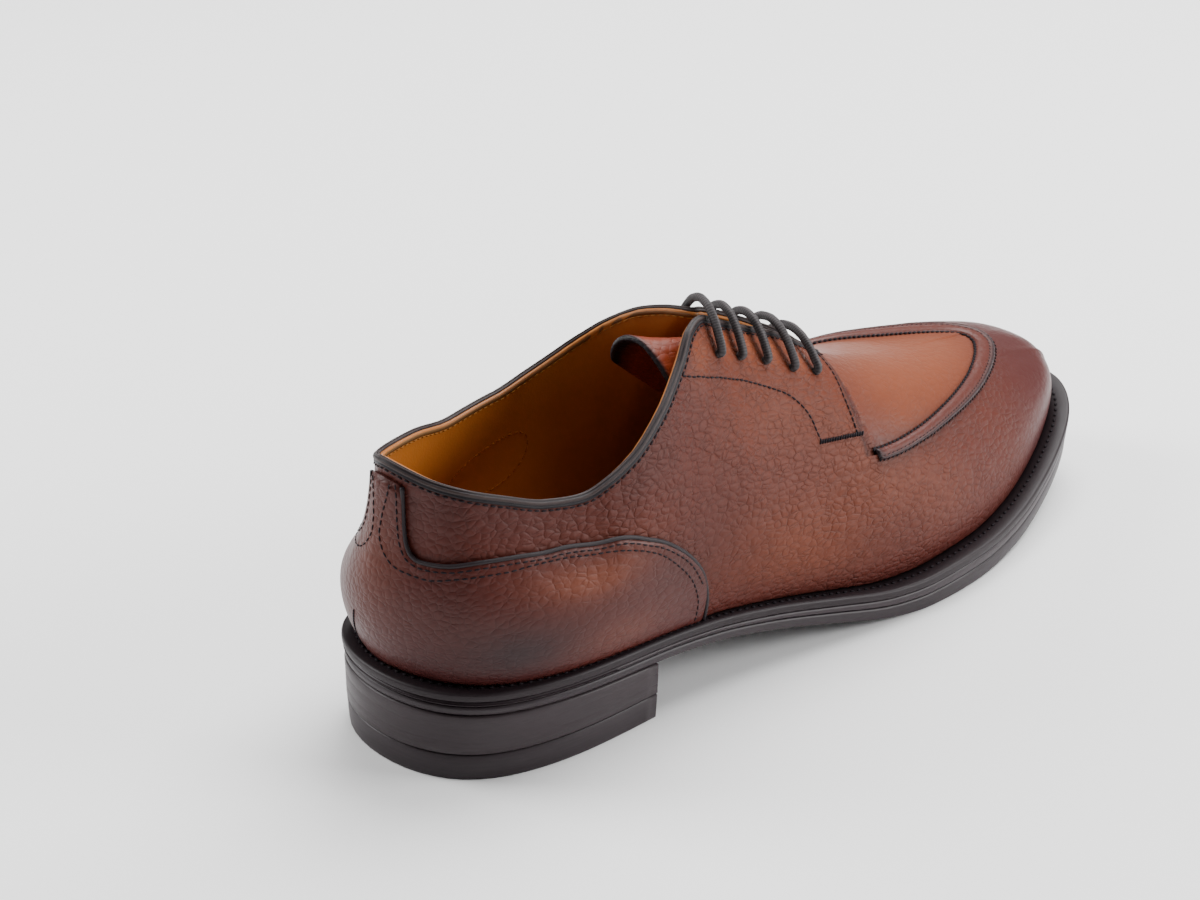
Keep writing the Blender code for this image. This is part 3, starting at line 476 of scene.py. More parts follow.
def lace_bar(outer, first, second, lift):
    """Points of one bar from hole to hole, arched just clear of the slot's edges."""
    start = lifted_point(outer, *first, LACE_RISE)
    end = lifted_point(not outer, *second, LACE_RISE)
    run = (end - start)[:2]
    peak = 0.0

    def arch(share):
        return (4.0 * share * (1.0 - share)) ** BAR_ROUND

    for side, (s, v) in ((outer, first), (not outer, second)):
        for share in (0.4, 0.7, 1.0):
            edge = lifted_point(side, s, v + (1.0 - v) * share, LACE_RADIUS + 0.55)
            along = float(np.dot(edge[:2] - start[:2], run) / np.dot(run, run))
            level = start[2] * (1.0 - along) + end[2] * along
            peak = max(peak, (edge[2] - level) / arch(along))
    bar = []
    for share in (0.0, 0.08, 0.2, 0.35, 0.5, 0.65, 0.8, 0.92, 1.0):
        point = start * (1.0 - share) + end * share
        bar.append(point + np.array([0.0, 0.0, (peak + lift) * arch(share)]))
    return bar


def lace_path():
    """Points along the lace: bars over the slot, joined by runs under the facings."""
    below = -(WALL + LACE_RADIUS + 0.85)
    tables = {True: HOLES_OUTER, False: HOLES_INNER}
    path = []
    for i in range(len(HOLES_OUTER)):
        outer = i % 2 == 0
        first = tables[outer][i]
        second = tables[not outer][i]
        if i > 0:
            last = tables[outer][i - 1]
            middle = ((first[0] + last[0]) / 2.0, (first[1] + last[1]) / 2.0)
            path.append(lifted_point(outer, *middle, below))
        path.append(lifted_point(outer, *first, below))
        path.append(lifted_point(outer, *first, -WALL * 0.5))
        path += lace_bar(outer, first, second, BAR_LIFT[i])
        path.append(lifted_point(not outer, *second, -WALL * 0.5))
        path.append(lifted_point(not outer, *second, below))
    return path


# Sizes and places of the dressed pieces
CORD_RADIUS = 1.36
SHELL_THICK = 1.2
LINING_START = 1.25
LINING_THICK = 1.0
FINE_ROUND = 260
BINDING_END = 0.5605

# Stitched line across the facing, and its bar at the foot: station, height share.
FACING_LINE = (
    (0.353, 0.956), (0.371, 0.886), (0.391, 0.844), (0.410, 0.828), (0.429, 0.832),
    (0.443, 0.826), (0.457, 0.816), (0.469, 0.804), (0.481, 0.786), (0.488, 0.766),
    (0.494, 0.742), (0.497, 0.722), (0.499, 0.700), (0.500, 0.674), (0.502, 0.640),
)
FACING_BAR = ((0.554, 0.659), (0.527, 0.646), (0.501, 0.635))
# Second row of stitches inside the counter's edge: station, height share.
COUNTER_ROW = (
    (0.013, 0.935), (0.006, 0.80), (0.005, 0.744), (0.013, 0.648), (0.033, 0.593),
    (0.055, 0.592), (0.085, 0.623), (0.127, 0.665), (0.189, 0.747), (0.215, 0.733),
    (0.236, 0.695), (0.273, 0.560), (0.299, 0.416), (0.323, 0.248), (0.331, 0.129),
    (0.332, 0.042),
)
# Half width of the band round the apron, from the outer end to the inner end: share, width.
BAND_WIDTH = (
    (0.0, 1.9), (0.15, 2.1), (0.35, 3.0), (0.55, 3.8), (0.7, 3.4), (0.85, 2.6), (1.0, 2.2),
)
# Section of that band: place across from outer (-1) to inner (1), height.
BAND_SHAPE = (
    (-1.12, 0.0), (-1.0, 0.55), (-0.84, 1.15), (-0.66, 1.3), (-0.5, 1.0), (-0.38, 0.7),
    (-0.22, 0.85), (0.1, 1.0), (0.45, 0.85), (0.75, 0.45), (0.9, 0.0), (1.0, -0.9),
)
# Line of the toe seam from the apron to the welt: across, along.
TOE_SEAM = ((4.0, 266.0), (4.6, 272.0), (4.8, 280.0), (4.2, 288.0), (3.0, 296.0))
# Soft creases of the walls: side (1 outer), station, height share, length, width, depth.
CREASES = (
    (1, 0.50, 0.42, 26.0, 7.0, 0.35), (1, 0.44, 0.36, 22.0, 8.0, -0.30),
    (1, 0.38, 0.55, 20.0, 7.0, 0.30), (0, 0.50, 0.42, 24.0, 7.0, 0.35),
    (0, 0.40, 0.50, 20.0, 7.0, 0.30),
)
# Painted light and shade spots on the leather: station, height share, their reaches, painted light
# added as tan, painted shade added.
TONE_SPOTS = (
    (0.138, 0.20, 0.050, 0.16, 0.0, 0.70), (0.060, 0.10, 0.045, 0.12, 0.0, 0.30),
    (0.205, 0.58, 0.055, 0.13, 0.60, 0.0), (0.240, 0.14, 0.045, 0.10, 0.30, 0.0),
    (0.000, 0.60, 0.030, 0.30, 0.35, 0.0), (0.130, 0.93, 0.120, 0.12, 0.0, 0.22),
    (0.283, 0.90, 0.050, 0.12, 0.0, 0.20), (0.333, 0.38, 0.060, 0.20, 0.0, 0.15),
    (0.460, 0.28, 0.080, 0.22, 0.40, 0.0), (0.570, 0.50, 0.070, 0.16, 0.35, 0.0),
    (0.385, 0.93, 0.020, 0.06, 0.55, 0.0), (0.425, 0.95, 0.010, 0.06, 0.80, 0.0),
    (0.455, 0.95, 0.009, 0.06, 0.80, 0.0), (0.483, 0.94, 0.009, 0.06, 0.75, 0.0),
    (0.513, 0.93, 0.009, 0.06, 0.70, 0.0), (0.650, 0.35, 0.050, 0.16, 0.18, 0.0),
)
# Arched end of the tongue, from the outer edge to the inner: across, along, up.
TONGUE_TIP = (
    (19.4, 106.6, 78.0), (18.3, 105.8, 84.0), (16.6, 105.0, 89.6), (13.9, 104.0, 95.2),
    (10.2, 103.0, 100.2), (3.6, 102.0, 105.2), (-2.4, 101.8, 105.6), (-6.4, 102.0, 103.6),
    (-9.4, 102.2, 100.8), (-11.4, 102.6, 97.4), (-12.5, 103.4, 93.2),
)
# Oval stitched place on the inner quarter's lining: station, height share, half sizes.
OVAL = (0.235, 0.560, 0.048, 0.165)


def place_in_metres(points):
    """Shoe points, as an array, in metres, centred over the sole."""
    points = np.asarray(points, float)
    offset = np.array([CENTRE[0], CENTRE[1], 0.0])
    return (points - offset) * MM


def orient(obj):
    """Turn every face outward on a closed mesh."""
    mesh = obj.data
    volume = 0.0
    for face in mesh.polygons:
        corners = [mesh.vertices[i].co for i in face.vertices]
        for i in range(1, len(corners) - 1):
            volume += corners[0].dot(corners[i].cross(corners[i + 1]))
    if volume < 0.0:
        mesh.flip_normals()


def closed_object(name, points, faces):
    """Smooth-shaded closed object from shoe points and faces, in the scene."""
    mesh = bpy.data.meshes.new(name)
    mesh.from_pydata([tuple(p) for p in place_in_metres(points)], [], faces)
    mesh.validate()
    mesh.shade_smooth()
    obj = bpy.data.objects.new(name, mesh)
    bpy.context.scene.collection.objects.link(obj)
    orient(obj)
    return obj


def face_grid(index, closed=False):
    """Four-sided faces over a table of vertex numbers."""
    faces = []
    rows, columns = index.shape
    for r in range(rows if closed else rows - 1):
        near = index[r]
        far = index[(r + 1) % rows]
        for c in range(columns - 1):
            face = tuple(dict.fromkeys((near[c], far[c], far[c + 1], near[c + 1])))
            if len(face) > 2:
                faces.append(tuple(int(i) for i in face))
    return faces


def ring_grid(levels, count, closed):
    """Faces round a stack of rings, and the vertex numbers of each ring."""
    index = np.arange(levels * count).reshape(levels, count)
    return face_grid(np.concatenate([index, index[:, :1]], axis=1), closed), index


def slab(name, low, high):
    """Closed object between two matching tables of points."""
    low = np.asarray(low, float)
    high = np.asarray(high, float)
    rows, columns = low.shape[:2]
    count = rows * columns
    index = np.arange(count).reshape(rows, columns)
    faces = face_grid(index)
    faces += [tuple(reversed([i + count for i in face])) for face in face_grid(index)]
    ring = [*index[0], *index[1:, -1], *index[-1, -2::-1], *index[-2:0:-1, 0]]
    ring = [int(i) for i in ring]
    for a, b in zip(ring, ring[1:] + ring[:1]):
        faces.append((a, b, b + count, a + count))
    points = np.concatenate([low.reshape(-1, 3), high.reshape(-1, 3)])
    return closed_object(name, points, faces)


def lofted(name, sections, capped=True):
    """Closed object from stacked outlines that go round; without caps it is a ring."""
    sections = np.asarray(sections, float)
    levels, count = sections.shape[:2]
    faces, index = ring_grid(levels, count, not capped)
    for level, flip in ((0, False), (levels - 1, True)) if capped else ():
        row = index[level]
        for i in range(count // 2):
            face = [row[i], row[i + 1], row[(count - i - 1) % count], row[(count - i) % count]]
            face = list(dict.fromkeys(int(k) for k in face))
            if len(face) > 2:
                faces.append(tuple(reversed(face)) if flip else tuple(face))
    return closed_object(name, sections.reshape(-1, 3), faces)


def swept(name, path, sides, ups, shape):
    """Object swept along a path: a closed section given as (side, up) offsets."""
    sections = np.stack([path + sides * a + ups * b for a, b in shape], axis=1)
    faces, index = ring_grid(*sections.shape[:2], False)
    faces.append(tuple(int(i) for i in index[0]))
    faces.append(tuple(int(i) for i in reversed(index[-1])))
    return closed_object(name, sections.reshape(-1, 3), faces)


def oval_shape(across, up, count):
    """Section with a number of corners on an oval."""
    angles = np.linspace(0, math.tau, count, False)
    return [(math.cos(a) * across, math.sin(a) * up) for a in angles]


def give_values(obj, **tables):
    """Store numbers on the vertices, one table or one number for all under each name."""
    count = len(obj.data.vertices)
    for name, values in tables.items():
        made = obj.data.attributes.new(name, "FLOAT", "POINT")
        made.data.foreach_set("value", np.full(count, values, np.float32))


def dress(obj, mat, node=None):
    """Give a piece its material and tie it to the frame."""
    obj.data.materials.clear()
    obj.data.materials.append(mat)
    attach(obj, "root")
    if node:
        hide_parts(node)
    return obj


# ---- The upper's surface, worked out on tables of places ----

# Outward direction at the end of the crest, where the columns of places meet
CREST_UP = (0.0, 0.23, 0.97)
# Height share between the apron's edge and the rows of points beside it
SPLIT_GAP = 0.0015


def skin_point(outer, s, v):
    """Point of the smooth upper on one side."""
    return upper_surface(place_round(outer, s), v)


def skin_normal(outer, s, v):
    """Outward direction of the smooth upper on one side."""
    return surface_normal(place_round(outer, s), min(max(v, 0.012), 0.985))


def shell_columns(fine):
    """Side and station of each column round the shoe."""
    front = FACING_FRONT[0][1]
    step = FACING_STEP
    stations = spread(0.0, 0.36, 66 if fine else 26) + spread(0.36, 0.41, 14 if fine else 6)
    stations += spread(0.41, front - step, 40 if fine else 12)
    stations += [front - step, front - step * 0.35, front + step * 0.35, front + step]
    stations += spread(front + 2.0 * step, THROAT, 5 if fine else 2)
    stations += spread(THROAT, 1.0, 104 if fine else 36) + [1.0]
    columns = [(True, s) for s in stations]
    columns += [(False, s) for s in reversed(stations[1:-1])]
    return columns


def shell_tables(fine, low_rows, high_rows):
    """Points, outward directions, places and vertex numbers of the upper's smooth skin."""
    columns = shell_columns(fine)
    points = []
    places = []
    for outer, s in columns:
        split = min(apron_share(outer, max(s, 0.5)), 0.985)
        low = [split * i / low_rows for i in range(low_rows)] + [split - SPLIT_GAP]
        reach = 1.0 - SPLIT_GAP - split
        high = [split + SPLIT_GAP + reach * i / high_rows for i in range(high_rows + 1)]
        row = []
        spots = []
        for v in low + high:
            v = min(v, 1.0)
            place = s + facing_shift(s, v)
            row.append(skin_point(outer, place, v))
            spots.append((1.0 if outer else 0.0, place, v))
        points.append(row)
        places.append(spots)
    points = np.array(points)
    places = np.array(places)
    for i, (outer, s) in enumerate(columns):
        if outer and THROAT - 0.0001 <= s < 1.0:
            j = columns.index((False, s))
            middle = (points[i, -1] + points[j, -1]) / 2.0
            points[i, -1] = middle
            points[j, -1] = middle
    index = shell_index(columns, points.shape[1])
    normals = skin_normals(points, index)
    turned = (places[..., 1] > 0.6) & (places[..., 2] > 0.9) & (normals[..., 2] < 0.6)
    normals[turned] = CREST_UP
    return points, normals, places, index


def skin_normals(points, index):
    """Outward directions of a table of points that goes round, from the faces at each point."""
    flat = points.reshape(-1, 3)
    near = index
    far = np.roll(index, -1, axis=0)
    corners = (near[:, :-1], far[:, :-1], far[:, 1:], near[:, 1:])
    faces = np.cross(flat[corners[2]] - flat[corners[0]], flat[corners[3]] - flat[corners[1]])
    total = np.zeros_like(flat)
    for corner in corners:
        np.add.at(total, corner.ravel(), faces.reshape(-1, 3))
    total /= np.linalg.norm(total, axis=1)[:, None] + 1e-12
    return total[index]


def shell_index(columns, rows):
    """Vertex numbers of the skin, with the two sides joined along the middle line."""
    index = np.arange(len(columns) * rows).reshape(len(columns), rows)
    for i, (outer, s) in enumerate(columns):
        if outer and THROAT - 0.0001 <= s < 1.0:
            index[columns.index((False, s)), -1] = index[i, -1]
    return index


def sheet_object(name, outside, inside, index):
    """Closed leather sheet between two tables of points that share their numbering."""
    used = np.unique(index)
    count = len(used)
    back = np.full(outside.shape[0] * outside.shape[1], -1)
    back[used] = np.arange(count)
    skin = [tuple(int(back[i]) for i in face) for face in face_grid(index, closed=True)]
    sides = {(face[i - 1], face[i]) for face in skin for i in range(len(face))}
    rim = [(a, b) for a, b in sides if (b, a) not in sides]
    faces = skin + [tuple(i + count for i in reversed(face)) for face in skin]
    faces += [(b, a, a + count, b + count) for a, b in sorted(rim)]
    points = np.concatenate([outside.reshape(-1, 3)[used], inside.reshape(-1, 3)[used]])
    return closed_object(name, points, faces), used


def bell(distance, width):
    """Smooth bump from 1 to 0 over a width."""
    return np.exp(-((np.asarray(distance) / width) ** 2))


def distance_to_line(points, line):
    """Distance of points from a line of points, each as many columns as the line has."""
    best = np.full(points.shape[:-1], 1e9)
    for a, b in zip(line[:-1], line[1:]):
        run = b - a
        along = np.clip(((points - a) @ run) / max(run @ run, 1e-9), 0.0, 1.0)
        gap = np.linalg.norm(points - (a + along[..., None] * run), axis=-1)
        best = np.minimum(best, gap)
    return best


def skin_relief(points, places):
    """Height of the leather over the smooth skin: apron, toe seam and soft creases."""
    outer = places[..., 0] > 0.5
    s = places[..., 1]
    v = places[..., 2]
    relief = np.zeros(s.shape)
    for index in np.ndindex(s.shape):
        if s[index] > 0.54:
            relief[index] -= recess(bool(outer[index]), s[index], v[index])
    plan = points[..., :2]
    seam = distance_to_line(plan, plain_curve(TOE_SEAM, 24))
    on_toe = np.clip((points[..., 1] - 263.0) / 6.0, 0.0, 1.0) * (v < 0.999)
    relief += on_toe * (0.55 * bell(seam, 1.3) - 0.18 * bell(seam, 3.6))
    for side, cs, cv, length, width, depth in CREASES:
        centre = skin_point(bool(side), cs, cv)
        gap = points - centre
        along = gap[..., 1] * 0.8 + gap[..., 2] * 0.6
        across = gap[..., 2] * 0.8 - gap[..., 1] * 0.6
        mask = (outer == bool(side)) * bell(along, length) * bell(across, width)
        relief -= depth * mask
    return relief


def trace(outer, knots, count, lift, on_counter=False):
    """Points and outward directions along a line drawn on one side of the upper."""
    places = plain_curve(knots, count)
    points = []
    normals = []
    for s, v in places:
        normal = skin_normal(outer, s, v)
        height = lift + (COUNTER_LIFT + COUNTER_THICK if on_counter else 0.0)
        if s > FACING_FRONT[0][1]:
            height -= recess(outer, s, v)
        points.append(skin_point(outer, s, v) + normal * height)
        normals.append(normal)
    return np.array(points), np.array(normals)


def beside(outer, knots, amount):
    """Knots of a line moved sideways over the skin, in millimetres, down and back."""
    tiny = 0.002
    knots = plain_curve(knots, 60)
    path = np.array([skin_point(outer, s, v) for s, v in knots])
    moved = []
    for (s, v), place, step in zip(knots, path, steps_along(path)):
        by_s = (skin_point(outer, s + tiny, v) - place) / tiny
        by_v = (place - skin_point(outer, s, v - tiny)) / tiny
        side = np.cross(skin_normal(outer, s, v), step)
        side *= -amount if side @ by_v > 0.0 else amount
        share = np.linalg.lstsq(np.stack([by_s, by_v], axis=1), side, rcond=None)[0]
        moved.append((max(s + share[0], 0.004), v + share[1]))
    return moved


def steps_along(path):
    """Unit steps along a path of points."""
    step = np.gradient(np.asarray(path, float), axis=0)
    return step / np.linalg.norm(step, axis=1)[:, None]


# ---- Finishes ----

# Stretch of the leather's grain along the shoe, and its pebbles per metre
GRAIN_DRAW = (1.0, 0.66, 1.15)
PEBBLES = 450.0


class Wire:
    """A shader socket that takes part in sums, adding Math nodes as it goes."""

    def __init__(self, finish, socket):
        self.finish = finish
        self.socket = socket

    def _math(self, operation, first, second):
        return self.finish.node("ShaderNodeMath", {"operation": operation}, {0: first, 1: second})

    def __add__(self, other):
        return self._math("ADD", self, other)

    def __radd__(self, other):
        return self._math("ADD", other, self)

    def __sub__(self, other):
        return self._math("SUBTRACT", self, other)

    def __rsub__(self, other):
        return self._math("SUBTRACT", other, self)

    def __mul__(self, other):
        return self._math("MULTIPLY", self, other)

    def __rmul__(self, other):
        return self._math("MULTIPLY", other, self)


class Finish:
    """A material under way: its nodes, and the shader they feed."""

    def __init__(self, name):
        self.material = bpy.data.materials.new(name)
        self.material.use_nodes = True
        self.tree = self.material.node_tree
        self.shader = self.tree.nodes["Principled BSDF"]
        self.place = self.node("ShaderNodeTexCoord", out="Object")

    def node(self, kind, settings=None, values=None, out=0):
        """Add a node, make its settings, then fill its sockets."""
        made = self.tree.nodes.new(kind)
        for key, value in (settings or {}).items():
            if key == "stops":
                self._stops(made.color_ramp, value)
            else:
                setattr(made, key, value)
        for key, value in (values or {}).items():
            self._fill(made.inputs[key], value)
        return Wire(self, made.outputs[out])

    def _stops(self, ramp, stops):
        while len(ramp.elements) < len(stops):
            ramp.elements.new(1.0)
        for element, (position, value) in zip(ramp.elements, stops):
            element.position = position
            element.color = (value, value, value, 1.0)

    def _fill(self, socket, value):
        if isinstance(value, Wire):
            self.tree.links.new(value.socket, socket)
        elif socket.type == "RGBA" and len(value) == 3:
            socket.default_value = (*value, 1.0)
        else:
            socket.default_value = value

    def set(self, name, value):
        """Set or feed one socket of the shader."""
        self._fill(self.shader.inputs[name], value)

    def noise(self, scale, detail=2.0, rough=0.5, place=None):
        """Soft cloudy value between 0 and 1, scale in features per metre."""
        return self.node("ShaderNodeTexNoise", {"noise_dimensions": "3D"}, {
            "Vector": place or self.place, "Scale": scale, "Detail": detail,
            "Roughness": rough,
        })

    def cells(self, scale, feature, place, **more):
        """Distance to the nearest of scattered cells, or to their borders."""
        values = {"Vector": place, "Scale": scale, **more}
        return self.node("ShaderNodeTexVoronoi", {"feature": feature}, values, "Distance")

    def ramp(self, value, stops):
        """Value sent through a grey ramp of (position, level) stops."""
        return self.node("ShaderNodeValToRGB", {"stops": stops}, {0: value})

    def attribute(self, name):
        """A number stored on the piece's vertices."""
        return self.node("ShaderNodeAttribute", {"attribute_name": name}, out="Fac")

    def parts_of(self, vector):
        """X, Y and Z of a vector."""
        made = self.tree.nodes.new("ShaderNodeSeparateXYZ")
        self._fill(made.inputs[0], vector)
        return [Wire(self, made.outputs[i]) for i in range(3)]

    def mix(self, factor, first, second):
        """Colour between two colours."""
        return self.node("ShaderNodeMix", {"data_type": "RGBA"},
                         {0: factor, 6: first, 7: second}, 2)

    def shifted(self, place, scale, amount):
        """A place pushed about by cloudy values, so a pattern loses its straight edges."""
        cloud = self.node("ShaderNodeTexNoise", {}, {"Vector": self.place, "Scale": scale}, "Color")
        push = self.node("ShaderNodeVectorMath", {"operation": "SCALE"}, {0: cloud, 3: amount})
        return self.node("ShaderNodeVectorMath", {"operation": "ADD"}, {0: place, 1: push})

    def done(self, tone, roughness, height=None, specular=None, coat=None):
        """Feed the shader and hand the material over.

        The height is a value, a strength and a depth in metres, or a tilt made before.
        """
        self.set("Base Color", tone)
        self.set("Roughness", roughness)
        if height is not None:
            self.set("Normal", self.bump(*height) if isinstance(height, tuple) else height)
        if coat is not None:
            self.set("Coat Weight", coat)
            self.set("Coat Roughness", 0.30)
        if specular is not None:
            self.set("Specular IOR Level", specular)
        return self.material

    def bump(self, height, strength, depth):
        """Surface tilt from a height, depth in metres."""
        return self.node("ShaderNodeBump", {},
                         {"Height": height, "Strength": strength, "Distance": depth})


def leather_grain(finish, pebble):
    """Bump of pebbled leather: rounded cells longer than wide, uneven creases, fine pores."""
    drawn = finish.node("ShaderNodeVectorMath", {"operation": "MULTIPLY"},
                        {0: finish.place, 1: GRAIN_DRAW})
    warped = finish.shifted(drawn, 210.0, 0.0020)
    borders = finish.cells(PEBBLES, "DISTANCE_TO_EDGE", warped)
    cells = finish.cells(PEBBLES, "SMOOTH_F1", warped, Smoothness=0.3)
    lines = finish.ramp(borders, [(0.0, 0.0), (0.05, 0.30), (0.15, 0.80), (0.32, 1.0)])
    uneven = finish.ramp(finish.noise(150.0), [(0.32, 0.35), (0.60, 1.0)])
    creases = (1.0 - lines) * uneven
    height = (creases * -0.42 - cells * 0.75) * pebble
    height = height + finish.noise(1100.0) * 0.084 + finish.noise(140.0, 3.0) * 0.4
    return finish.bump(height, 0.75, 0.0006), creases


def leather_finish(name, plug_tone, side_tone):
    """Grained, burnished leather whose tone follows the panels and the painted light and shade."""
    t = tones()
    finish = Finish(name)
    plug, burnish, edge, grain = map(finish.attribute, ("plug", "burnish", "edge", "grain"))
    cloud = finish.noise(38.0, 3.0, 0.6)
    patch = finish.noise(14.0)
    normal, creases = leather_grain(finish, grain)
    warmer = [side_tone[0] * 1.25, side_tone[1] * 1.05, side_tone[2] * 0.7]
    side = finish.mix(cloud * 0.5 + 0.1, side_tone, [c * 0.62 for c in side_tone])
    side = finish.mix(patch * 0.45, side, warmer)
    tan = finish.mix(cloud * 0.4, plug_tone, [c * 0.75 for c in plug_tone])
    # The burnishing value also carries painted shade.
    tone = finish.mix(burnish, finish.mix(plug, side, tan), t.burnish)
    # Painted shade in the grain's creases.
    tone = finish.mix(creases * grain * 0.30, tone, [c * 0.35 for c in side_tone])
    # The edge value also carries the painted shade spots.
    return finish.done(finish.mix(edge, tone, t.edge),
                       0.32 + cloud * 0.12 + grain * 0.16 + edge * 0.06,
                       normal, 0.18, (1.0 - grain) * 0.26)


def dark_edge_finish(name, tone, light, roughness=0.42):
    """Waxed dark leather edge with a slight streak along it."""
    finish = Finish(name)
    cloud = finish.noise(220.0, 4.0, 0.65)
    broad = finish.noise(45.0)
    return finish.done(finish.mix(cloud * 0.6 + broad * 0.4, tone, light),
                       roughness + cloud * 0.16, (cloud, 0.3, 0.0002), 0.22)


def ridged_finish(name, tone, light):
    """Dyed binding, dark in its grooves, with a painted highlight along its ridges."""
    finish = Finish(name)
    ridge = finish.attribute("ridge")
    cloud = finish.noise(260.0, 4.0, 0.65)
    return finish.done(finish.mix(ridge * (cloud * 0.8 + 0.2), tone, light),
                       0.42 + cloud * 0.16, (cloud, 0.35, 0.0002), 0.2)


def lining_finish(name, tone):
    """Smooth lining leather, a little cloudy."""
    finish = Finish(name)
    cloud = finish.noise(30.0, 4.0, 0.6)
    pores = finish.noise(1400.0)
    return finish.done(finish.mix(cloud * 0.7, tone, tones().lining_deep),
                       0.5 + cloud * 0.12, (pores + cloud * 2.0, 0.25, 0.0002))


def sole_finish(name, tone, streaks):
    """Dressed sole edge: layered streaks under a thin wax."""
    finish = Finish(name)
    x, y, z = finish.parts_of(finish.place)
    stretched = finish.node("ShaderNodeCombineXYZ", {}, {0: x * 0.25, 1: y * 0.25, 2: z * 5.0})
    layer = finish.noise(streaks, 3.0, 0.6, stretched)
    cloud = finish.noise(60.0, 3.0)
    return finish.done(finish.mix(layer * 0.6 + cloud * 0.3, tone, tones().sole_sheen),
                       0.34 + layer * 0.16 + cloud * 0.08, (layer, 0.25, 0.00025), 0.20, 0.10)


def thread_finish(name, tone, light):
    """Twisted thread."""
    finish = Finish(name)
    twist = finish.noise(2600.0)
    return finish.done(finish.mix(twist, tone, light), 0.6 + twist * 0.15,
                       (twist, 0.4, 0.0001), 0.12)


def lace_finish(name, tone, light):
    """Round waxed cord with slanting ribs."""
    finish = Finish(name)
    spot = finish.node("ShaderNodeUVMap", {"uv_map": "UVMap"})
    u, v, _ = finish.parts_of(spot)
    slants = [(u * 1.6 + v * 2.0) * math.tau, (u * 1.6 - v * 2.0) * math.tau]
    first, second = [finish.node("ShaderNodeMath", {"operation": "SINE"}, {0: s}) for s in slants]
    weave = (first * second) * 0.5 + 0.5
    cloud = finish.noise(400.0, 3.0)
    return finish.done(finish.mix(weave * 0.75 + cloud * 0.3 - 0.12, tone, light),
                       0.5 + weave * 0.15 + cloud * 0.1, (weave, 0.5, 0.00025), 0.25)


def floor_finish(name, tone):
    """Plain pale floor."""
    finish = Finish(name)
    cloud = finish.noise(6.0)
    return finish.done(finish.mix(cloud * 0.1, tone, [c * 0.97 for c in tone]),
                       0.75 + cloud * 0.05)


# ---- Rows of stitches by Geometry Nodes ----

# How far a stitch may lean either way, in radians
STITCH_UNEVEN = 0.06


def stitch_tree(name, mat):
    """Node tree that sets stitches along lines: each one laid along, flat to the leather."""
    tree = bpy.data.node_groups.new(name, "GeometryNodeTree")
    face = tree.interface
    face.new_socket("Geometry", in_out="INPUT", socket_type="NodeSocketGeometry")
    for label in ("Pitch", "Length", "Width", "Height", "Turn"):
        face.new_socket(label, in_out="INPUT", socket_type="NodeSocketFloat")
    face.new_socket("Geometry", in_out="OUTPUT", socket_type="NodeSocketGeometry")
    nodes = tree.nodes
    links = tree.links

    def add(kind, settings=None, values=None):
        made = nodes.new(kind)
        for key, value in (settings or {}).items():
            setattr(made, key, value)
        for key, value in (values or {}).items():
            if hasattr(value, "is_output"):
                links.new(value, made.inputs[key])
            else:
                made.inputs[key].default_value = value
        return made

    given = add("NodeGroupInput").outputs
    line = add("GeometryNodeMeshToCurve", {}, {"Mesh": given["Geometry"]})
    even = add("GeometryNodeResampleCurve", {"mode": "LENGTH"},
               {"Curve": line.outputs[0], "Length": given["Pitch"]})
    tangent = add("GeometryNodeInputTangent").outputs[0]
    up = add("GeometryNodeInputNamedAttribute", {"data_type": "FLOAT_VECTOR"}, {"Name": "facing"})
    along = add("FunctionNodeAlignRotationToVector", {"axis": "X"}, {"Vector": tangent})
    flat = add("FunctionNodeAlignRotationToVector", {"axis": "Z", "pivot_axis": "X"},
               {"Rotation": along.outputs[0], "Vector": up.outputs[0]})
    chance = add("FunctionNodeRandomValue", {"data_type": "FLOAT"},
                 {"Min": -1.0, "Max": 1.0, "Seed": 7})
    drawn = next(output for output in chance.outputs if output.enabled)
    wobble = add("ShaderNodeMath", {"operation": "MULTIPLY_ADD"},
                 {0: drawn, 1: STITCH_UNEVEN, 2: given["Turn"]})
    spin = add("FunctionNodeAxisAngleToRotation", {},
               {"Axis": (0.0, 0.0, 1.0), "Angle": wobble.outputs[0]})
    turned = add("FunctionNodeRotateRotation", {"rotation_space": "LOCAL"},
                 {"Rotation": flat.outputs[0], "Rotate By": spin.outputs[0]})
    ball = add("GeometryNodeMeshUVSphere", {}, {"Segments": 8, "Rings": 5, "Radius": 0.5})
    size = add("ShaderNodeCombineXYZ", {},
               {0: given["Length"], 1: given["Width"], 2: given["Height"]})
    shaped = add("GeometryNodeTransform", {},
                 {"Geometry": ball.outputs[0], "Scale": size.outputs[0]})
    placed = add("GeometryNodeInstanceOnPoints", {},
                 {"Points": even.outputs[0], "Instance": shaped.outputs[0],
                  "Rotation": turned.outputs[0]})
    real = add("GeometryNodeRealizeInstances", {}, {"Geometry": placed.outputs[0]})
    smooth = add("GeometryNodeSetShadeSmooth", {}, {"Geometry": real.outputs[0]})
    painted = add("GeometryNodeSetMaterial", {}, {"Geometry": smooth.outputs[0], "Material": mat})
    add("NodeGroupOutput", {}, {"Geometry": painted.outputs[0]})
    return tree


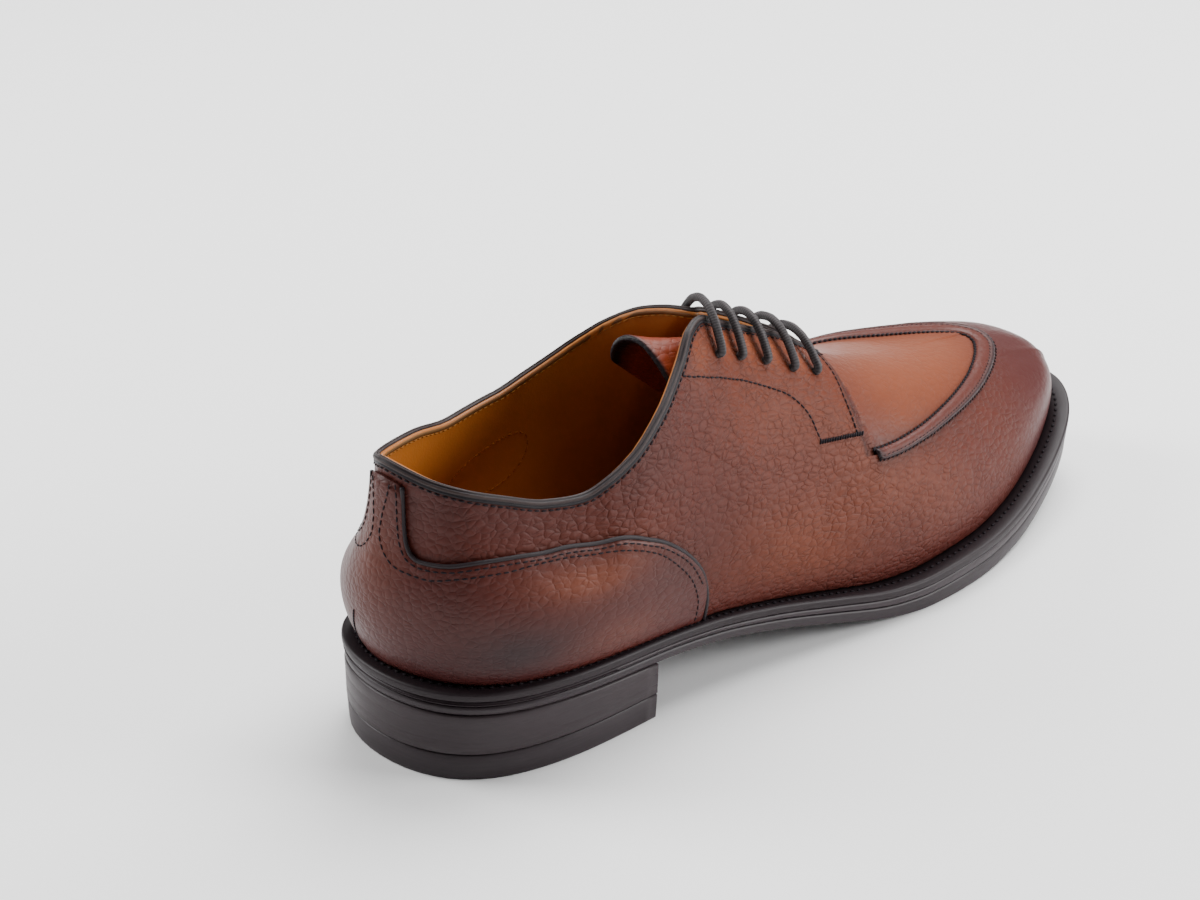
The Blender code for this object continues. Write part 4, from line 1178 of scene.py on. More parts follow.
def stitch_rows(name, rows, mat, pitch, length, width, height, turn=0.0):
    """Piece made of stitches along rows, each row a pair of points and directions."""
    mesh = bpy.data.meshes.new(name + "_lines")
    verts = []
    edges = []
    facing = []
    for points, normals in rows:
        start = len(verts)
        verts += [tuple(p) for p in place_in_metres(points)]
        facing += [tuple(n) for n in normals]
        edges += [(start + i, start + i + 1) for i in range(len(points) - 1)]
    mesh.from_pydata(verts, edges, [])
    made = mesh.attributes.new("facing", "FLOAT_VECTOR", "POINT")
    made.data.foreach_set("vector", np.asarray(facing, np.float32).ravel())
    lines = bpy.data.objects.new(name + "_lines", mesh)
    bpy.context.scene.collection.objects.link(lines)
    tree = stitch_tree(name + "_tree", mat)
    modifier = lines.modifiers.new("Stitches", "NODES")
    modifier.node_group = tree
    given = {"Pitch": pitch * MM, "Length": length * MM, "Width": width * MM,
             "Height": height * MM, "Turn": turn}
    for item in tree.interface.items_tree:
        if item.in_out == "INPUT" and item.name in given:
            modifier[item.identifier] = given[item.name]
    seen = lines.evaluated_get(bpy.context.evaluated_depsgraph_get())
    result = bpy.data.meshes.new_from_object(seen)
    result.name = name
    bpy.data.objects.remove(lines)
    obj = bpy.data.objects.new(name, result)
    bpy.context.scene.collection.objects.link(obj)
    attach(obj, "root")


# ---- Pieces ----


def tones():
    """Colours of the shoe, as set in the sidebar."""
    return bpy.context.scene.derby_tones


def sizes():
    """Sizes of the dressed pieces, as set in the sidebar."""
    return bpy.context.scene.derby_sizes


def smooth_step(value, low, high):
    """0 below low, 1 above high, with a soft change between."""
    t = np.clip((np.asarray(value, float) - low) / (high - low), 0.0, 1.0)
    return t * t * (3.0 - 2.0 * t)


def inside_line(points, line):
    """1 where plan points lie within a closed line, else 0."""
    within = np.zeros(len(points), bool)
    for a, b in zip(line, np.roll(line, -1, axis=0)):
        crosses = (a[1] > points[:, 1]) != (b[1] > points[:, 1])
        reach = a[0] + (points[:, 1] - a[1]) * (b[0] - a[0]) / ((b[1] - a[1]) or 1e-9)
        within ^= crosses & (points[:, 0] < reach)
    return within * 1.0


def painted_light_and_shade(s, v):
    """Painted light (as added tan) and painted shade values of the spots at a place."""
    tan = np.zeros(np.shape(s))
    painted_shade = np.zeros(np.shape(s))
    for spot_s, spot_v, reach_s, reach_v, more_painted_light, more_painted_shade in TONE_SPOTS:
        near = bell(np.asarray(s) - spot_s, reach_s) * bell(np.asarray(v) - spot_v, reach_v)
        tan += near * more_painted_light
        painted_shade += near * more_painted_shade
    return tan, painted_shade


def shade_shell(obj, points, places, used):
    """Panel, burnishing, edge and grain values of the upper's leather; painted light goes into the
    panel value, painted shade into the burnishing and edge values.
    """
    outer, s, v = places.reshape(-1, 3)[used].T
    spot = points.reshape(-1, 3)[used]
    share = np.array([apron_share(o > 0.5, max(t, 0.5)) for o, t in zip(outer, s)])
    front = np.array([facing_front(t) for t in v])
    rim_line = plain_curve(APRON_PLAN, 90)
    from_rim = distance_to_line(spot[:, :2], rim_line)
    on_plug = (s > front) * (v > 0.5) * inside_line(spot[:, :2], rim_line)
    toe = smooth_step(spot[:, 1], 236.0, 284.0) * (1.0 - on_plug * 0.75)
    heel = 1.0 - smooth_step(s, 0.02, 0.22)
    # Burnishing and painted shade, darker near the welt.
    foot = 1.0 - smooth_step(spot[:, 2] - np.array([welt_top(y) for y in spot[:, 1]]), 0.0, 13.0)
    rim = smooth_step(v, 0.955, 0.995) * (s < THROAT)
    near_front = bell((s - front) * 290.0, 0.9) * (v > share)
    facing = smooth_step(s, 0.33, 0.46) * smooth_step(v, 0.5, 0.75) * (s < front)
    near_apron = bell(from_rim, 2.6) * (s > front)
    # Painted shade over the apron, near its rim and near the facings.
    shaded = bell(from_rim, 9.0) * 0.30 + bell(s - front, 0.055) * 0.42
    burnish = np.clip(toe * 0.85 + heel * 0.5 + foot * 0.45 + on_plug * shaded, 0.0, 0.92)
    # Painted light and painted shade spots on the upper.
    tan, painted_shade = painted_light_and_shade(s, v)
    # Painted shade spots darken through the edge value.
    edge = np.clip(rim * 0.45 + near_front * 0.7 + near_apron * 0.35 + painted_shade, 0.0, 1.0)
    grain = 0.95 - 0.7 * toe - 0.55 * on_plug - 0.35 * heel
    # The painted light spots lighten through the panel value.
    plug = np.clip(on_plug + (facing * 0.30 + tan) * (1.0 - on_plug), 0.0, 1.0)
    give_values(obj, plug=np.tile(plug, 2), burnish=np.tile(burnish, 2),
                edge=np.tile(edge, 2), grain=np.tile(np.clip(grain, 0.12, 1.0), 2))


def make_shell():
    """Outer leather of the upper."""
    points, normals, places, index = shell_tables(True, 50, 36)
    relief = skin_relief(points, places)
    raised = points + normals * relief[..., None]
    depth = np.minimum(relief, 0.0) - SHELL_THICK
    obj, used = sheet_object("upper_leather", raised, points + normals * depth[..., None], index)
    shade_shell(obj, points, places, used)
    mat = leather_finish("upper_leather", tones().plug, tones().side)
    dress(obj, mat, "upper")


def make_lining():
    """Lining leather inside the upper."""
    points, normals, places, index = shell_tables(False, 22, 14)
    start = LINING_START + smooth_step(places[..., 1], 0.54, 0.62) * PLUG_RECESS
    inside = points - normals * start[..., None]
    obj, _ = sheet_object("quarter_lining", inside, inside - normals * LINING_THICK, index)
    dress(obj, lining_finish("quarter_lining", tones().lining), None)


def make_counter_cover():
    """Heel counter with its rounded upper edge and dark piping."""
    half = 120
    rows = 34
    foot = 0.012
    low = []
    high = []
    places = []
    for i in range(-half, half + 1):
        s = COUNTER_END * 0.995 * (abs(i) / half) ** 1.15
        outer = i >= 0
        top = max(counter_share(s), foot + 0.03)
        side_taper = 1.0 - 0.55 * max(0.0, (s / COUNTER_END - 0.975) / 0.02) ** 2
        for j in range(rows):
            share = j / (rows - 1)
            v = foot + (top - foot) * share
            base = skin_point(outer, s, v)
            normal = skin_normal(outer, s, v)
            taper = 1.0 - 0.55 * max(0.0, (share - 0.965) / 0.035) ** 2
            low.append(base + normal * 0.05)
            high.append(base + normal * (COUNTER_LIFT + COUNTER_THICK * taper * side_taper))
            places.append((s, v))
    shape = (2 * half + 1, rows, 3)
    obj = slab("counter_cover", np.reshape(low, shape), np.reshape(high, shape))
    s, v = np.array(places + places).T
    heel = 1.0 - smooth_step(s, 0.03, 0.2)
    # Painted shade, darker towards the counter's foot.
    low_painted_shade = 1.0 - smooth_step(v, 0.02, 0.4)
    tan, painted_shade = painted_light_and_shade(s, v)
    # Painted light spots go into the panel value and painted shade spots into the edge value.
    give_values(obj, plug=np.clip(tan, 0.0, 0.9), edge=np.clip(painted_shade, 0.0, 0.9), grain=0.55,
                burnish=np.minimum(0.12 + heel * 0.25 + low_painted_shade * 0.3, 0.9))
    t = tones()
    mat = leather_finish("counter_leather", t.plug, t.counter)
    dress(obj, mat, "heel_counter")

    mat = dark_edge_finish("piping_leather", t.edge, t.edge_light)
    knots = [(s, v) for s, v in COUNTER_EDGE if s >= 0.026]
    for outer, name in ((False, "counter_piping_inner"), (True, "counter_piping_outer")):
        path, normals = trace(outer, knots if outer else knots[::-1], 150, COUNTER_LIFT + 0.5)
        sides = np.cross(steps_along(path), normals)
        pipe = swept(name, path, sides, normals, oval_shape(0.68, 0.62, 10))
        dress(pipe, mat, None)


def skin_tree():
    """Search tree over the smooth forefoot."""
    columns = 160
    rows = 40
    points = []
    for i in range(columns + 1):
        u = (0.54 + 0.92 * i / columns) / 2.0
        points += [Vector(upper_surface(u, j / rows)) for j in range(rows + 1)]
    index = np.arange((columns + 1) * (rows + 1)).reshape(columns + 1, rows + 1)
    return BVHTree.FromPolygons(points, face_grid(index))


def apron_band():
    """Middle, sideways direction, outward direction and half width of the apron's band."""
    tree = skin_tree()
    plan = plain_curve(APRON_PLAN, 220)
    width = smooth_table(BAND_WIDTH)
    ahead = steps_along(plan)
    rows = []
    for i, (across, along) in enumerate(plan):
        hit, normal, _, _ = tree.ray_cast(Vector((across, along, 150.0)), Vector((0.0, 0.0, -1.0)))
        normal = normal if normal.z > 0.0 else -normal
        step = Vector((ahead[i][0], ahead[i][1], 0.0))
        step = (step - normal * step.dot(normal)).normalized()
        side = step.cross(normal)
        if i == 0:
            outward = 1.0 if side.x > 0.0 else -1.0
        side = side * outward
        rows.append((hit, normal, side, width(i / (len(plan) - 1))))
    return tree, rows


def make_apron_band():
    """Raised, rolled band round the apron."""
    tree, rows = apron_band()
    high = []
    low = []
    roll = []
    for hit, normal, side, half in rows:
        ending = 1.0 - min(len(high), len(rows) - 1 - len(high), 4) / 4.0
        nearest = [tree.find_nearest(hit - side * (place * half))[0] for place, _ in BAND_SHAPE]
        high.append([list(p + normal * height) for p, (_, height) in zip(nearest, BAND_SHAPE)])
        low.append([list(p - normal * 1.3) for p in nearest])
        roll += [max(float(bell(place + 0.78, 0.30)), ending) for place, _ in BAND_SHAPE]
    obj = slab("apron_band", low, high)
    give_values(obj, plug=0.35, burnish=0.62, grain=0.45,
                edge=np.clip(np.array(roll + roll), 0.0, 1.0) * 0.9)
    mat = leather_finish("band_leather", tones().plug, tones().side)
    dress(obj, mat, "apron_seam")


def band_line(place, lift):
    """Points and directions of a line drawn along the apron's band."""
    tree, rows = apron_band()
    points = []
    normals = []
    for hit, normal, side, half in rows:
        near = tree.find_nearest(hit - side * (place * half))[0]
        points.append(np.array(near + normal * lift))
        normals.append(np.array(normal))
    return np.array(points), np.array(normals)


def top_loop(inset=0.0):
    """Points, outward and upward directions all round the collar and down the facings."""
    places = [(True, s) for s in np.linspace(BINDING_END, 0.0, FINE_ROUND)]
    places += [(False, s) for s in np.linspace(0.0, BINDING_END, FINE_ROUND)[1:]]
    points = np.array([skin_point(outer, s, 1.0) for outer, s in places])
    below = np.array([skin_point(outer, s, 0.95) for outer, s in places])
    normals = np.array([skin_normal(outer, s, 0.985) for outer, s in places])
    window = np.ones(7) / 7.0
    for c in range(3):
        padded = np.pad(normals[:, c], 3, mode="edge")
        normals[:, c] = np.convolve(padded, window, mode="valid")
    steps = steps_along(points)
    normals -= steps * (normals * steps).sum(axis=1)[:, None]
    normals /= np.linalg.norm(normals, axis=1)[:, None]
    ups = np.cross(normals, steps)
    ups *= np.sign((ups * (points - below)).sum(axis=1))[:, None]
    return points - ups * inset, normals, ups


def make_binding():
    """Beaded dark edge round the collar and the facings, and the raw lining edge inside it."""
    t = tones()
    points, normals, ups = top_loop()
    shape = (
        (0.30, -2.0), (0.34, -1.50), (0.14, -1.20), (0.44, -0.95), (0.56, -0.45), (0.38, 0.02),
        (0.02, -0.08), (0.04, 0.35), (-0.18, 0.66), (-0.48, 0.52), (-0.66, 0.0), (-0.84, 0.45),
        (-1.12, 0.58), (-1.38, 0.25), (-1.55, -0.4), (-1.5, -2.0),
    )
    # Share of painted highlight at each corner of the bead's section, high on its ridges.
    crests = (0.1, 0.0, 0.0, 0.7, 1.0, 0.3, 0.0, 0.35, 1.0, 0.6, 0.0, 0.6, 1.0, 0.5, 0.1, 0.1)
    bead = swept("collar_bead", points, normals, ups, shape)
    give_values(bead, ridge=np.tile(crests, len(points)))
    dress(bead, ridged_finish("bead_leather", t.edge, t.bead_painted_highlight), None)
    shape = ((-1.5, -1.6), (-1.5, -0.35), (-1.75, -0.15), (-2.1, -0.25), (-2.36, -0.6),
             (-2.4, -1.6))
    raw = swept("lining_edge", points, normals, ups, shape)
    dress(raw, lining_finish("lining_edge", t.raw_edge), None)


def make_tongue_piece():
    """Tongue under the facings, with a soft, bevelled end."""
    depth = WALL + 2.0 * LACE_RADIUS + TONGUE_ROOM
    shares = (0.64, 0.70, 0.76, 0.82, 0.87)
    stations = (0.572, 0.555, 0.53, 0.505, 0.48, 0.455, 0.43, 0.41)
    rows = []
    for s in stations:
        row = [lifted_point(True, s, share, -depth) for share in shares]
        crest = lifted_point(True, s, 1.0, -depth) + lifted_point(False, s, 1.0, -depth)
        row.append(crest / 2.0)
        for share in reversed(shares):
            row.append(lifted_point(False, s, share + (1.0 - share) * 0.08, -depth))
        rows.append(row)
    last = np.array(rows[-1])
    tip = np.array(TONGUE_TIP)
    for part in (0.30, 0.62, 0.92, 1.0):
        rows.append(list(last * (1.0 - part) + tip * part))
    low = []
    for r, row in enumerate(rows):
        before = np.array(rows[max(r - 1, 0)])
        after = np.array(rows[min(r + 1, len(rows) - 1)])
        under = []
        for c, point in enumerate(row):
            across = row[min(c + 1, len(row) - 1)] - row[max(c - 1, 0)]
            normal = np.cross(after[c] - before[c], across)
            normal = normal / np.linalg.norm(normal)
            normal = -normal if normal[2] < 0.0 else normal
            under.append(point - normal * TONGUE_THICK)
        low.append(under)
    obj = slab("tongue_piece", low, rows)
    soft = obj.modifiers.new("Soft", "SUBSURF")
    soft.levels = 2
    soft.render_levels = 2
    rim = np.zeros((2, len(rows), len(last)))
    rim[:, -1, :] = 1.0
    rim[0, -2:, :] = 1.0
    give_values(obj, plug=0.8, burnish=0.1, edge=rim.ravel(), grain=0.5)
    mat = leather_finish("tongue_leather", tones().tongue, tones().side)
    dress(obj, mat, "tongue")


def outline(inset, height_at, lift=0.0):
    """Outline round the sole at an inset, lifted from a height for each place along."""
    section = []
    for i in range(FINE_ROUND):
        u = i / FINE_ROUND
        amount = inset(side_of(u)[1]) if callable(inset) else inset
        point, _ = edge_point(u, amount)
        section.append((point[0], point[1], height_at(point[1]) + lift))
    return section


def make_sole():
    """Insole, welt, midsole and outsole with dressed edges."""
    t = tones()
    outsole_top, midsole_low, midsole_top, welt_low = layer_heights()

    def seat(s):
        return feather_inset(s) + WALL + WELT_TUCK

    sock_rows = ((0.4, midsole_top, FIT_GAP), (0.3, welt_top, 0.4),
                 (-1.1, welt_top, INSOLE_THICK - 0.7), (-1.0, welt_top, INSOLE_THICK - 0.2),
                 (-0.4, welt_top, INSOLE_THICK))
    sock = lofted("sock_lining", [
        outline(lambda s, more=more: seat(s) + more, at, lift) for more, at, lift in sock_rows
    ])
    dress(sock, lining_finish("sock_lining", t.lining), "insole")

    edge = ((seat, welt_low, 0.0), (0.5, welt_low, 0.0), (0.08, welt_low, 0.35),
            (0.0, welt_low, 0.9), (0.0, welt_top, -0.9), (0.15, welt_top, -0.4),
            (0.6, welt_top, -0.06), (1.2, welt_top, 0.0), (seat, welt_top, 0.0))
    rim = lofted("welt_rim", [outline(*row) for row in edge], capped=False)
    dress(rim, dark_edge_finish("welt_leather", t.welt, t.welt_light, 0.4), "welt")

    bands = (
        ("midsole", "midsole_leather", midsole_low, midsole_top, 0.35, t.sole_light),
        ("outsole", "outsole_rubber", underside, outsole_top, 0.75, t.sole_dark),
    )
    for node, slot, low, high, inset, tone in bands:
        edge = ((inset + 1.0, low, 0.0), (inset + 0.35, low, 0.15), (inset, low, 0.7),
                (inset - 0.05, high, -0.9), (inset + 0.2, high, -0.25), (inset + 0.7, high, 0.0))
        layer = lofted(node + "_edge", [outline(*row) for row in edge])
        dress(layer, sole_finish(slot, tone, 420.0), node)


def make_heel_pieces():
    """Stacked heel with its lift lines, and the rubber top piece."""
    t = tones()
    stack_low = TOP_PIECE_HEIGHT + FIT_GAP
    levels = []
    for share, inset in ((0.0, 1.2), (0.02, 0.86), (0.30, 0.80), (0.325, 0.88), (0.35, 0.78),
                         (0.66, 0.72), (0.685, 0.80), (0.71, 0.70), (0.96, 0.62), (1.0, 0.95)):
        levels.append(heel_outline(inset, lambda y, share=share: (
            stack_low * (1 - share) + (underside(y) - FIT_GAP) * share)))
    stack = lofted("heel_stack_lifts", levels)
    dress(stack, sole_finish("heel_leather", t.sole_mid, 520.0), "heel_stack")
    levels = []
    for height, more in ((0.0, 0.4), (0.35, 0.06), (1.0, 0.0),
                         (TOP_PIECE_HEIGHT - 0.4, -0.3 * HEEL_TAPER), (TOP_PIECE_HEIGHT, 0.0)):
        levels.append(heel_outline(HEEL_TAPER + more, lambda y, height=height: height))
    piece = lofted("top_piece_rubber", levels)
    dress(piece, sole_finish("top_piece_rubber", t.sole_dark, 300.0),
          "top_piece")


def cord_mesh(name, path, radius, ridges):
    """Round cord along a path, with a map of its length and girth."""
    steps = steps_along(path)
    side = np.cross(steps[0], [0.0, 0.0, 1.0])
    side /= np.linalg.norm(side)
    sides = []
    for step in steps:
        side = side - step * (side @ step)
        side = side / np.linalg.norm(side)
        sides.append(side)
    sides = np.array(sides)
    obj = swept(name, path, sides, np.cross(steps, sides), oval_shape(radius, radius, ridges))
    reach = np.concatenate([[0.0], np.cumsum(np.linalg.norm(np.diff(path, axis=0), axis=1))])
    layer = obj.data.uv_layers.new(name="UVMap")
    for face in obj.data.polygons:
        spots = [divmod(obj.data.loops[i].vertex_index, ridges) for i in face.loop_indices]
        wraps = max(r for _, r in spots) - min(r for _, r in spots) > ridges // 2
        for i, (level, ring) in zip(face.loop_indices, spots):
            girth = ring + ridges if wraps and ring < ridges // 2 else ring
            layer.data[i].uv = (reach[level] / 2.5, girth / ridges)
    return obj


def make_lace():
    """Lace through all the holes, its ends hidden under the facings, one at the top outer hole and
    one at the bottom inner hole.
    """
    lace = cord_mesh("lace", plain_curve(lace_path(), 700), CORD_RADIUS, 12)
    dress(lace, lace_finish("lace_cord", tones().lace, tones().lace_light), "lace")


def make_stitches():
    """Every row of stitches, by thread."""
    t = tones()
    dark = thread_finish("dark_thread", t.thread, t.thread_light)
    pale = thread_finish("pale_thread", t.raw_edge, t.lining)
    waxed = thread_finish("welt_thread", t.welt_thread, t.welt)
    z = sizes()
    pitch, length, width = (size / MM for size in (z.stitch_pitch, z.stitch_length, z.stitch_width))

    points, normals, _ = top_loop(2.6)
    stitch_rows("collar_stitches", [(points + normals * 0.16, normals)], dark,
                pitch, length, width, 0.4)
    points, normals, _ = top_loop(1.9)
    stitch_rows("lining_stitches", [(points - normals * 2.5, -normals)], pale,
                pitch, length, width * 0.8, 0.3)

    front = [(facing_front(v) - 0.006, v) for v in np.linspace(0.665, 0.985, 12)]
    edge = [(s, v) for s, v in COUNTER_EDGE if 0.026 <= s < 0.342]
    facings = []
    bars = []
    counters = []
    for outer in (True, False):
        facings += [trace(outer, FACING_LINE, 160, 0.10), trace(outer, front, 80, 0.10)]
        bars.append(trace(outer, FACING_BAR, 40, 0.22))
        counters.append(trace(outer, COUNTER_ROW, 240, 0.08, True))
        counters.append(trace(outer, beside(outer, edge, 1.7), 240, 0.08, True))
    stitch_rows("facing_stitches", facings, dark, pitch * 0.85, length, width * 1.2, 0.4)
    stitch_rows("facing_bars", bars, dark, 1.0, 1.9, 0.7, 0.9, 0.95)
    stitch_rows("counter_stitches", counters, dark, pitch, length, width, 0.4)

    for name, place, lift, step, long, wide, high, turn in (
            ("apron_stitches", 0.98, -0.55, 2.1, 2.4, 1.0, 0.95, 0.55),
            ("apron_edge_stitches", -1.05, 0.5, 2.2, 1.9, 0.6, 0.6, 0.5),
            ("apron_roll_stitches", -0.42, 0.72, 2.2, 1.8, 0.5, 0.4, 0.4)):
        stitch_rows(name, [band_line(place, lift)], dark, step, long, wide, high, turn)

    dart = ((0.021, 0.235), (0.030, 0.12), (0.036, 0.02))
    stitch_rows("heel_dart", [trace(False, dart, 40, 0.12, True)], dark,
                1.2, 1.6, 0.7, 0.4)

    cs, cv, ds, dv = OVAL
    ring = [(cs + ds * math.cos(a), cv + dv * math.sin(a)) for a in np.linspace(0, math.tau, 49)]
    normals = np.array([skin_normal(False, s, v) for s, v in ring])
    points = np.array([skin_point(False, s, v) for s, v in ring])
    points = points - normals * (LINING_START + LINING_THICK + 0.06)
    stitch_rows("lining_oval", [(points, -normals)],
                thread_finish("oval_thread", t.lining_deep, t.lining),
                pitch, length, width, 0.3)

    ring = []
    for i in range(401):
        u = (i % 400) / 400.0
        point, _ = edge_point(u, feather_inset(side_of(u)[1]) * 0.62)
        ring.append((point[0], point[1], welt_top(point[1]) + 0.12))
    stitch_rows("welt_stitches", [(ring, np.tile([0.0, 0.0, 1.0], (len(ring), 1)))], waxed,
                2.9, 1.7, 1.1, 0.7)


# ---- Stage ----

CAMERA = {"azimuth": 47.39, "elevation": 27.33, "roll": 0.53, "distance": 909.35,
          "focal": 2733.0, "target": (-59.5, 143.45, 30.0)}
PHOTO_WIDTH = 1200.0
SENSOR = 36.0


def aim(target):
    """Camera at the photograph's place, aimed and rolled to suit."""
    a = math.radians(CAMERA["azimuth"])
    e = math.radians(CAMERA["elevation"])
    roll = math.radians(CAMERA["roll"])
    back = Vector((math.sin(a) * math.cos(e), -math.cos(a) * math.cos(e), math.sin(e)))
    right = Vector((math.cos(a), math.sin(a), 0.0))
    up = right.cross(-back)
    side = right * math.cos(roll) + up * math.sin(roll)
    over = up * math.cos(roll) - right * math.sin(roll)
    data = bpy.data.cameras.new("view")
    data.sensor_width = SENSOR
    data.lens = CAMERA["focal"] / PHOTO_WIDTH * SENSOR
    data.clip_start = 0.01
    camera = bpy.data.objects.new("view", data)
    bpy.context.scene.collection.objects.link(camera)
    place = Vector(place_in_metres([target])[0]) + back * CAMERA["distance"] * MM
    turn = Matrix((side, over, back)).transposed().to_4x4()
    camera.matrix_world = Matrix.Translation(place) @ turn
    bpy.context.scene.camera = camera


def soft_light(name, place, towards, size, power):
    """Large soft lamp."""
    data = bpy.data.lights.new(name, "AREA")
    data.shape = "RECTANGLE"
    data.size, data.size_y = size
    data.energy = power
    lamp = bpy.data.objects.new(name, data)
    bpy.context.scene.collection.objects.link(lamp)
    lamp.location = place
    lamp.rotation_mode = "QUATERNION"
    lamp.rotation_quaternion = (Vector(towards) - Vector(place)).to_track_quat("-Z", "Y")


def make_stage():
    """Pale floor, soft lights and the camera."""
    mesh = bpy.data.meshes.new("floor")
    reach = 4.0
    signs = ((-1, -1), (1, -1), (1, 1), (-1, 1))
    mesh.from_pydata([(x * reach, y * reach, 0.0) for x, y in signs], [], [(0, 1, 2, 3)])
    floor = bpy.data.objects.new("floor", mesh)
    bpy.context.scene.collection.objects.link(floor)
    mesh.materials.append(floor_finish("floor", tones().floor))
    world = bpy.data.worlds.new("studio")
    bpy.context.scene.world = world
    world.use_nodes = True
    sky = world.node_tree.nodes["Background"]
    sky.inputs[0].default_value = (1.0, 1.0, 1.0, 1.0)
    sky.inputs[1].default_value = sizes().room_light
    soft_light("left", (-0.95, -0.75, 0.75), (0.0, -0.05, 0.05), (0.6, 0.8), 20.0)
    soft_light("overhead", (-0.25, 0.65, 1.25), (0.0, 0.03, 0.05), (1.3, 1.1), 46.0)
    soft_light("right", (0.95, 0.85, 0.55), (0.0, 0.08, 0.04), (0.6, 0.6), 20.0)
    aim(CAMERA["target"])


# ---- The add-on ----


def colour(name, description, default):
    """A colour the sidebar can change."""
    return FloatVectorProperty(name=name, description=description, default=default,
                               subtype="COLOR", size=3, min=0.0, max=1.0)


class DerbyTones(bpy.types.PropertyGroup):
    """Colours of the shoe and its stage."""

    # Also the colour that the painted light spots lighten towards.
    plug: colour("Apron", "Tan of the apron panel", (0.200, 0.050, 0.018))
    side: colour("Walls", "Brown-red of the walls and quarters", (0.077, 0.0130, 0.0060))
    counter: colour("Counter", "Brown-red of the heel counter", (0.056, 0.0070, 0.0028))
    # Also the colour that painted shade darkens towards: near the welt, over the apron's edges and
    # on the counter's lower band.
    burnish: colour("Burnish", "Dark red of the toe and heel", (0.060, 0.0135, 0.0128))
    # Also the colour that the painted shade spots darken towards.
    edge: colour("Edges", "Dark dye on cut edges", (0.006, 0.004, 0.006))
    edge_light: colour("Edge sheen", "Worn dye on cut edges", (0.026, 0.018, 0.020))
    # Painted highlight on the binding's ridges.
    bead_painted_highlight: colour("Binding ridges", "Worn ridges of the binding", (0.054, 0.034, 0.030))
    tongue: colour("Tongue", "Orange-brown of the tongue", (0.24, 0.034, 0.007))
    lining: colour("Lining", "Mustard of the lining", (0.36, 0.115, 0.009))
    lining_deep: colour("Lining shade", "Darker mustard of the lining", (0.20, 0.052, 0.004))
    raw_edge: colour("Raw edge", "Cut edge of the lining", (0.12, 0.078, 0.028))
    welt: colour("Welt", "Near-black of the welt", (0.010, 0.006, 0.008))
    welt_light: colour("Welt sheen", "Worn edge of the welt", (0.020, 0.013, 0.015))
    welt_thread: colour("Welt thread", "Thread round the welt", (0.006, 0.004, 0.006))
    sole_light: colour("Midsole", "Upper band of the sole's edge", (0.020, 0.013, 0.016))
    sole_mid: colour("Heel", "Stacked heel", (0.020, 0.013, 0.015))
    sole_dark: colour("Outsole", "Lower band of the sole's edge", (0.012, 0.008, 0.010))
    sole_sheen: colour("Sole streaks", "Pale streaks of the sole's edge", (0.040, 0.029, 0.033))
    lace: colour("Lace", "Dark of the lace", (0.012, 0.010, 0.011))
    lace_light: colour("Lace ribs", "Raised ribs of the lace", (0.085, 0.074, 0.076))
    thread: colour("Thread", "Dark thread", (0.006, 0.004, 0.006))
    thread_light: colour("Thread sheen", "Lit side of the dark thread", (0.016, 0.011, 0.014))
    floor: colour("Floor", "Pale floor", (0.93, 0.93, 0.93))


class DerbySizes(bpy.types.PropertyGroup):
    """Sizes of the dressed details."""

    stitch_pitch: FloatProperty(name="Stitch pitch", description="Distance between stitches",
                                default=0.0024, unit="LENGTH")
    stitch_length: FloatProperty(name="Stitch length", description="Length of a stitch",
                                 default=0.0019, unit="LENGTH")
    stitch_width: FloatProperty(name="Stitch width", description="Width of a stitch",
                                default=0.00055, unit="LENGTH")
    room_light: FloatProperty(name="Room light", description="Strength of the even light",
                              default=0.26)


class DERBY_OT_upper(bpy.types.Operator):
    """Build the outer leather of the upper."""

    bl_idname = "derby.upper"
    bl_label = "Upper leather"
    bl_options = {"REGISTER", "UNDO"}

    def execute(self, context):
        make_shell()
        return {"FINISHED"}


class DERBY_OT_lining(bpy.types.Operator):
    """Build the lining inside the upper."""

    bl_idname = "derby.lining"
    bl_label = "Lining"
    bl_options = {"REGISTER", "UNDO"}

    def execute(self, context):
        make_lining()
        return {"FINISHED"}


class DERBY_OT_counter(bpy.types.Operator):
    """Build the heel counter and its piping."""

    bl_idname = "derby.counter"
    bl_label = "Heel counter"
    bl_options = {"REGISTER", "UNDO"}

    def execute(self, context):
        make_counter_cover()
        return {"FINISHED"}


class DERBY_OT_apron(bpy.types.Operator):
    """Build the raised band round the apron."""

    bl_idname = "derby.apron"
    bl_label = "Apron band"
    bl_options = {"REGISTER", "UNDO"}

    def execute(self, context):
        make_apron_band()
        return {"FINISHED"}


class DERBY_OT_binding(bpy.types.Operator):
    """Build the beaded edge of the collar and facings."""

    bl_idname = "derby.binding"
    bl_label = "Collar binding"
    bl_options = {"REGISTER", "UNDO"}

    def execute(self, context):
        make_binding()
        return {"FINISHED"}


class DERBY_OT_tongue(bpy.types.Operator):
    """Build the tongue."""

    bl_idname = "derby.tongue"
    bl_label = "Tongue"
    bl_options = {"REGISTER", "UNDO"}

    def execute(self, context):
        make_tongue_piece()
        return {"FINISHED"}


class DERBY_OT_sole(bpy.types.Operator):
    """Build the sock lining, welt, midsole and outsole."""

    bl_idname = "derby.sole"
    bl_label = "Sole"
    bl_options = {"REGISTER", "UNDO"}

    def execute(self, context):
        make_sole()
        return {"FINISHED"}


class DERBY_OT_heel(bpy.types.Operator):
    """Build the stacked heel and its top piece."""

    bl_idname = "derby.heel"
    bl_label = "Heel"
    bl_options = {"REGISTER", "UNDO"}

    def execute(self, context):
        make_heel_pieces()
        return {"FINISHED"}


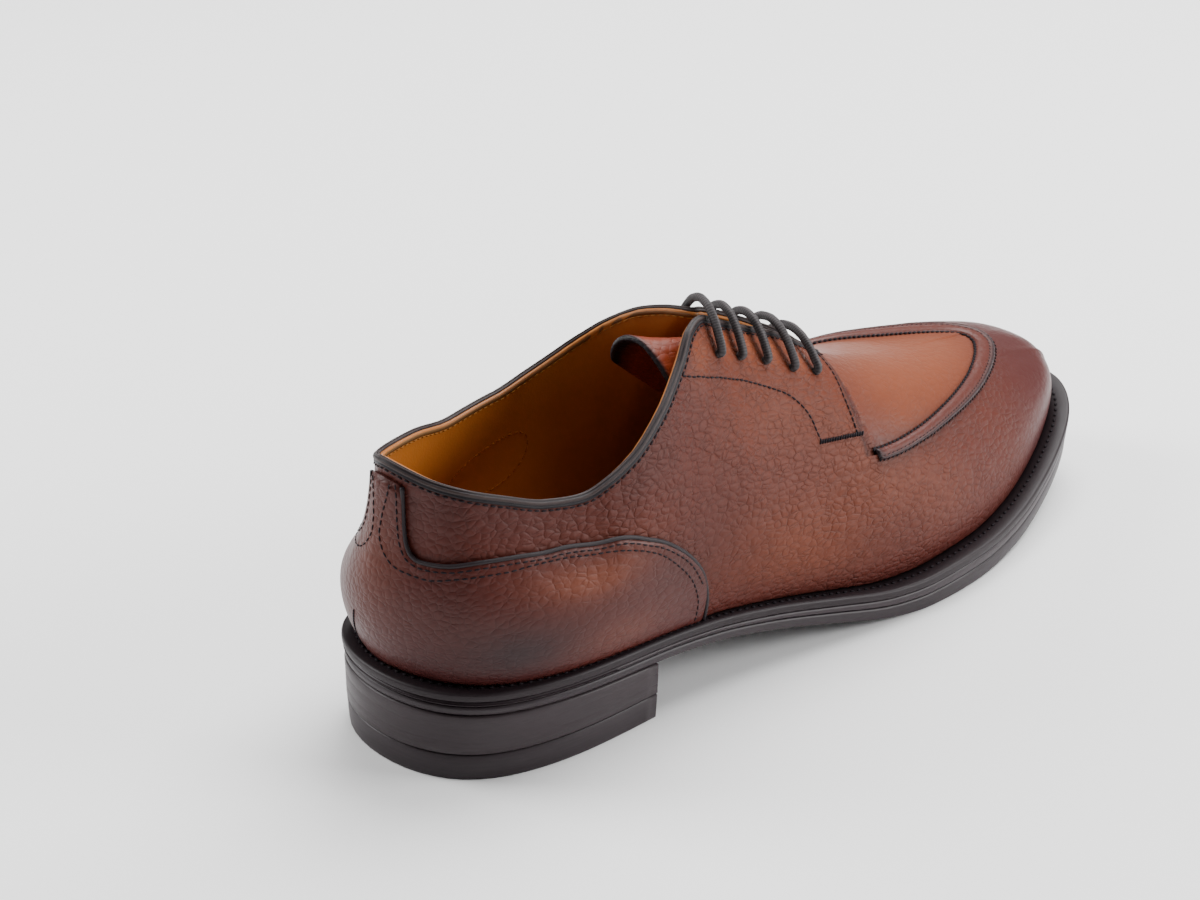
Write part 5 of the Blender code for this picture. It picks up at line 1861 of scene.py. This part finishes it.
class DERBY_OT_lace(bpy.types.Operator):
    """Build the lace."""

    bl_idname = "derby.lace"
    bl_label = "Lace"
    bl_options = {"REGISTER", "UNDO"}

    def execute(self, context):
        make_lace()
        return {"FINISHED"}


class DERBY_OT_stitches(bpy.types.Operator):
    """Set every row of stitches."""

    bl_idname = "derby.stitches"
    bl_label = "Stitches"
    bl_options = {"REGISTER", "UNDO"}

    def execute(self, context):
        make_stitches()
        return {"FINISHED"}


class DERBY_OT_stage(bpy.types.Operator):
    """Set the floor, the lights and the camera."""

    bl_idname = "derby.stage"
    bl_label = "Stage"
    bl_options = {"REGISTER", "UNDO"}

    def execute(self, context):
        make_stage()
        return {"FINISHED"}


class DERBY_PT_pieces(bpy.types.Panel):
    """Pieces of the shoe, their sizes and their colours."""

    bl_label = "Derby"
    bl_space_type = "VIEW_3D"
    bl_region_type = "UI"
    bl_category = "Derby"

    def draw(self, context):
        layout = self.layout
        for step in STEPS:
            layout.operator(step.bl_idname)
        for group in (context.scene.derby_sizes, context.scene.derby_tones):
            box = layout.box()
            for name in group.bl_rna.properties.keys():
                if name not in {"rna_type", "name"}:
                    box.prop(group, name)


STEPS = (
    DERBY_OT_upper,
    DERBY_OT_lining,
    DERBY_OT_counter,
    DERBY_OT_apron,
    DERBY_OT_binding,
    DERBY_OT_tongue,
    DERBY_OT_sole,
    DERBY_OT_heel,
    DERBY_OT_lace,
    DERBY_OT_stitches,
    DERBY_OT_stage,
)
CLASSES = (DerbyTones, DerbySizes, *STEPS, DERBY_PT_pieces)


def register():
    """Make the classes and settings known."""
    for item in CLASSES:
        bpy.utils.register_class(item)
    bpy.types.Scene.derby_tones = PointerProperty(type=DerbyTones)
    bpy.types.Scene.derby_sizes = PointerProperty(type=DerbySizes)


def unregister():
    """Forget the classes and settings."""
    del bpy.types.Scene.derby_sizes
    del bpy.types.Scene.derby_tones
    for item in reversed(CLASSES):
        bpy.utils.unregister_class(item)


def main():
    """Build the whole shoe on its stage."""
    register()
    for step in STEPS:
        done = step.bl_idname.split(".")[1]
        if getattr(bpy.ops.derby, done)() != {"FINISHED"}:
            raise RuntimeError(step.bl_label + " was not finished")


if __name__ == "__main__":
    main()
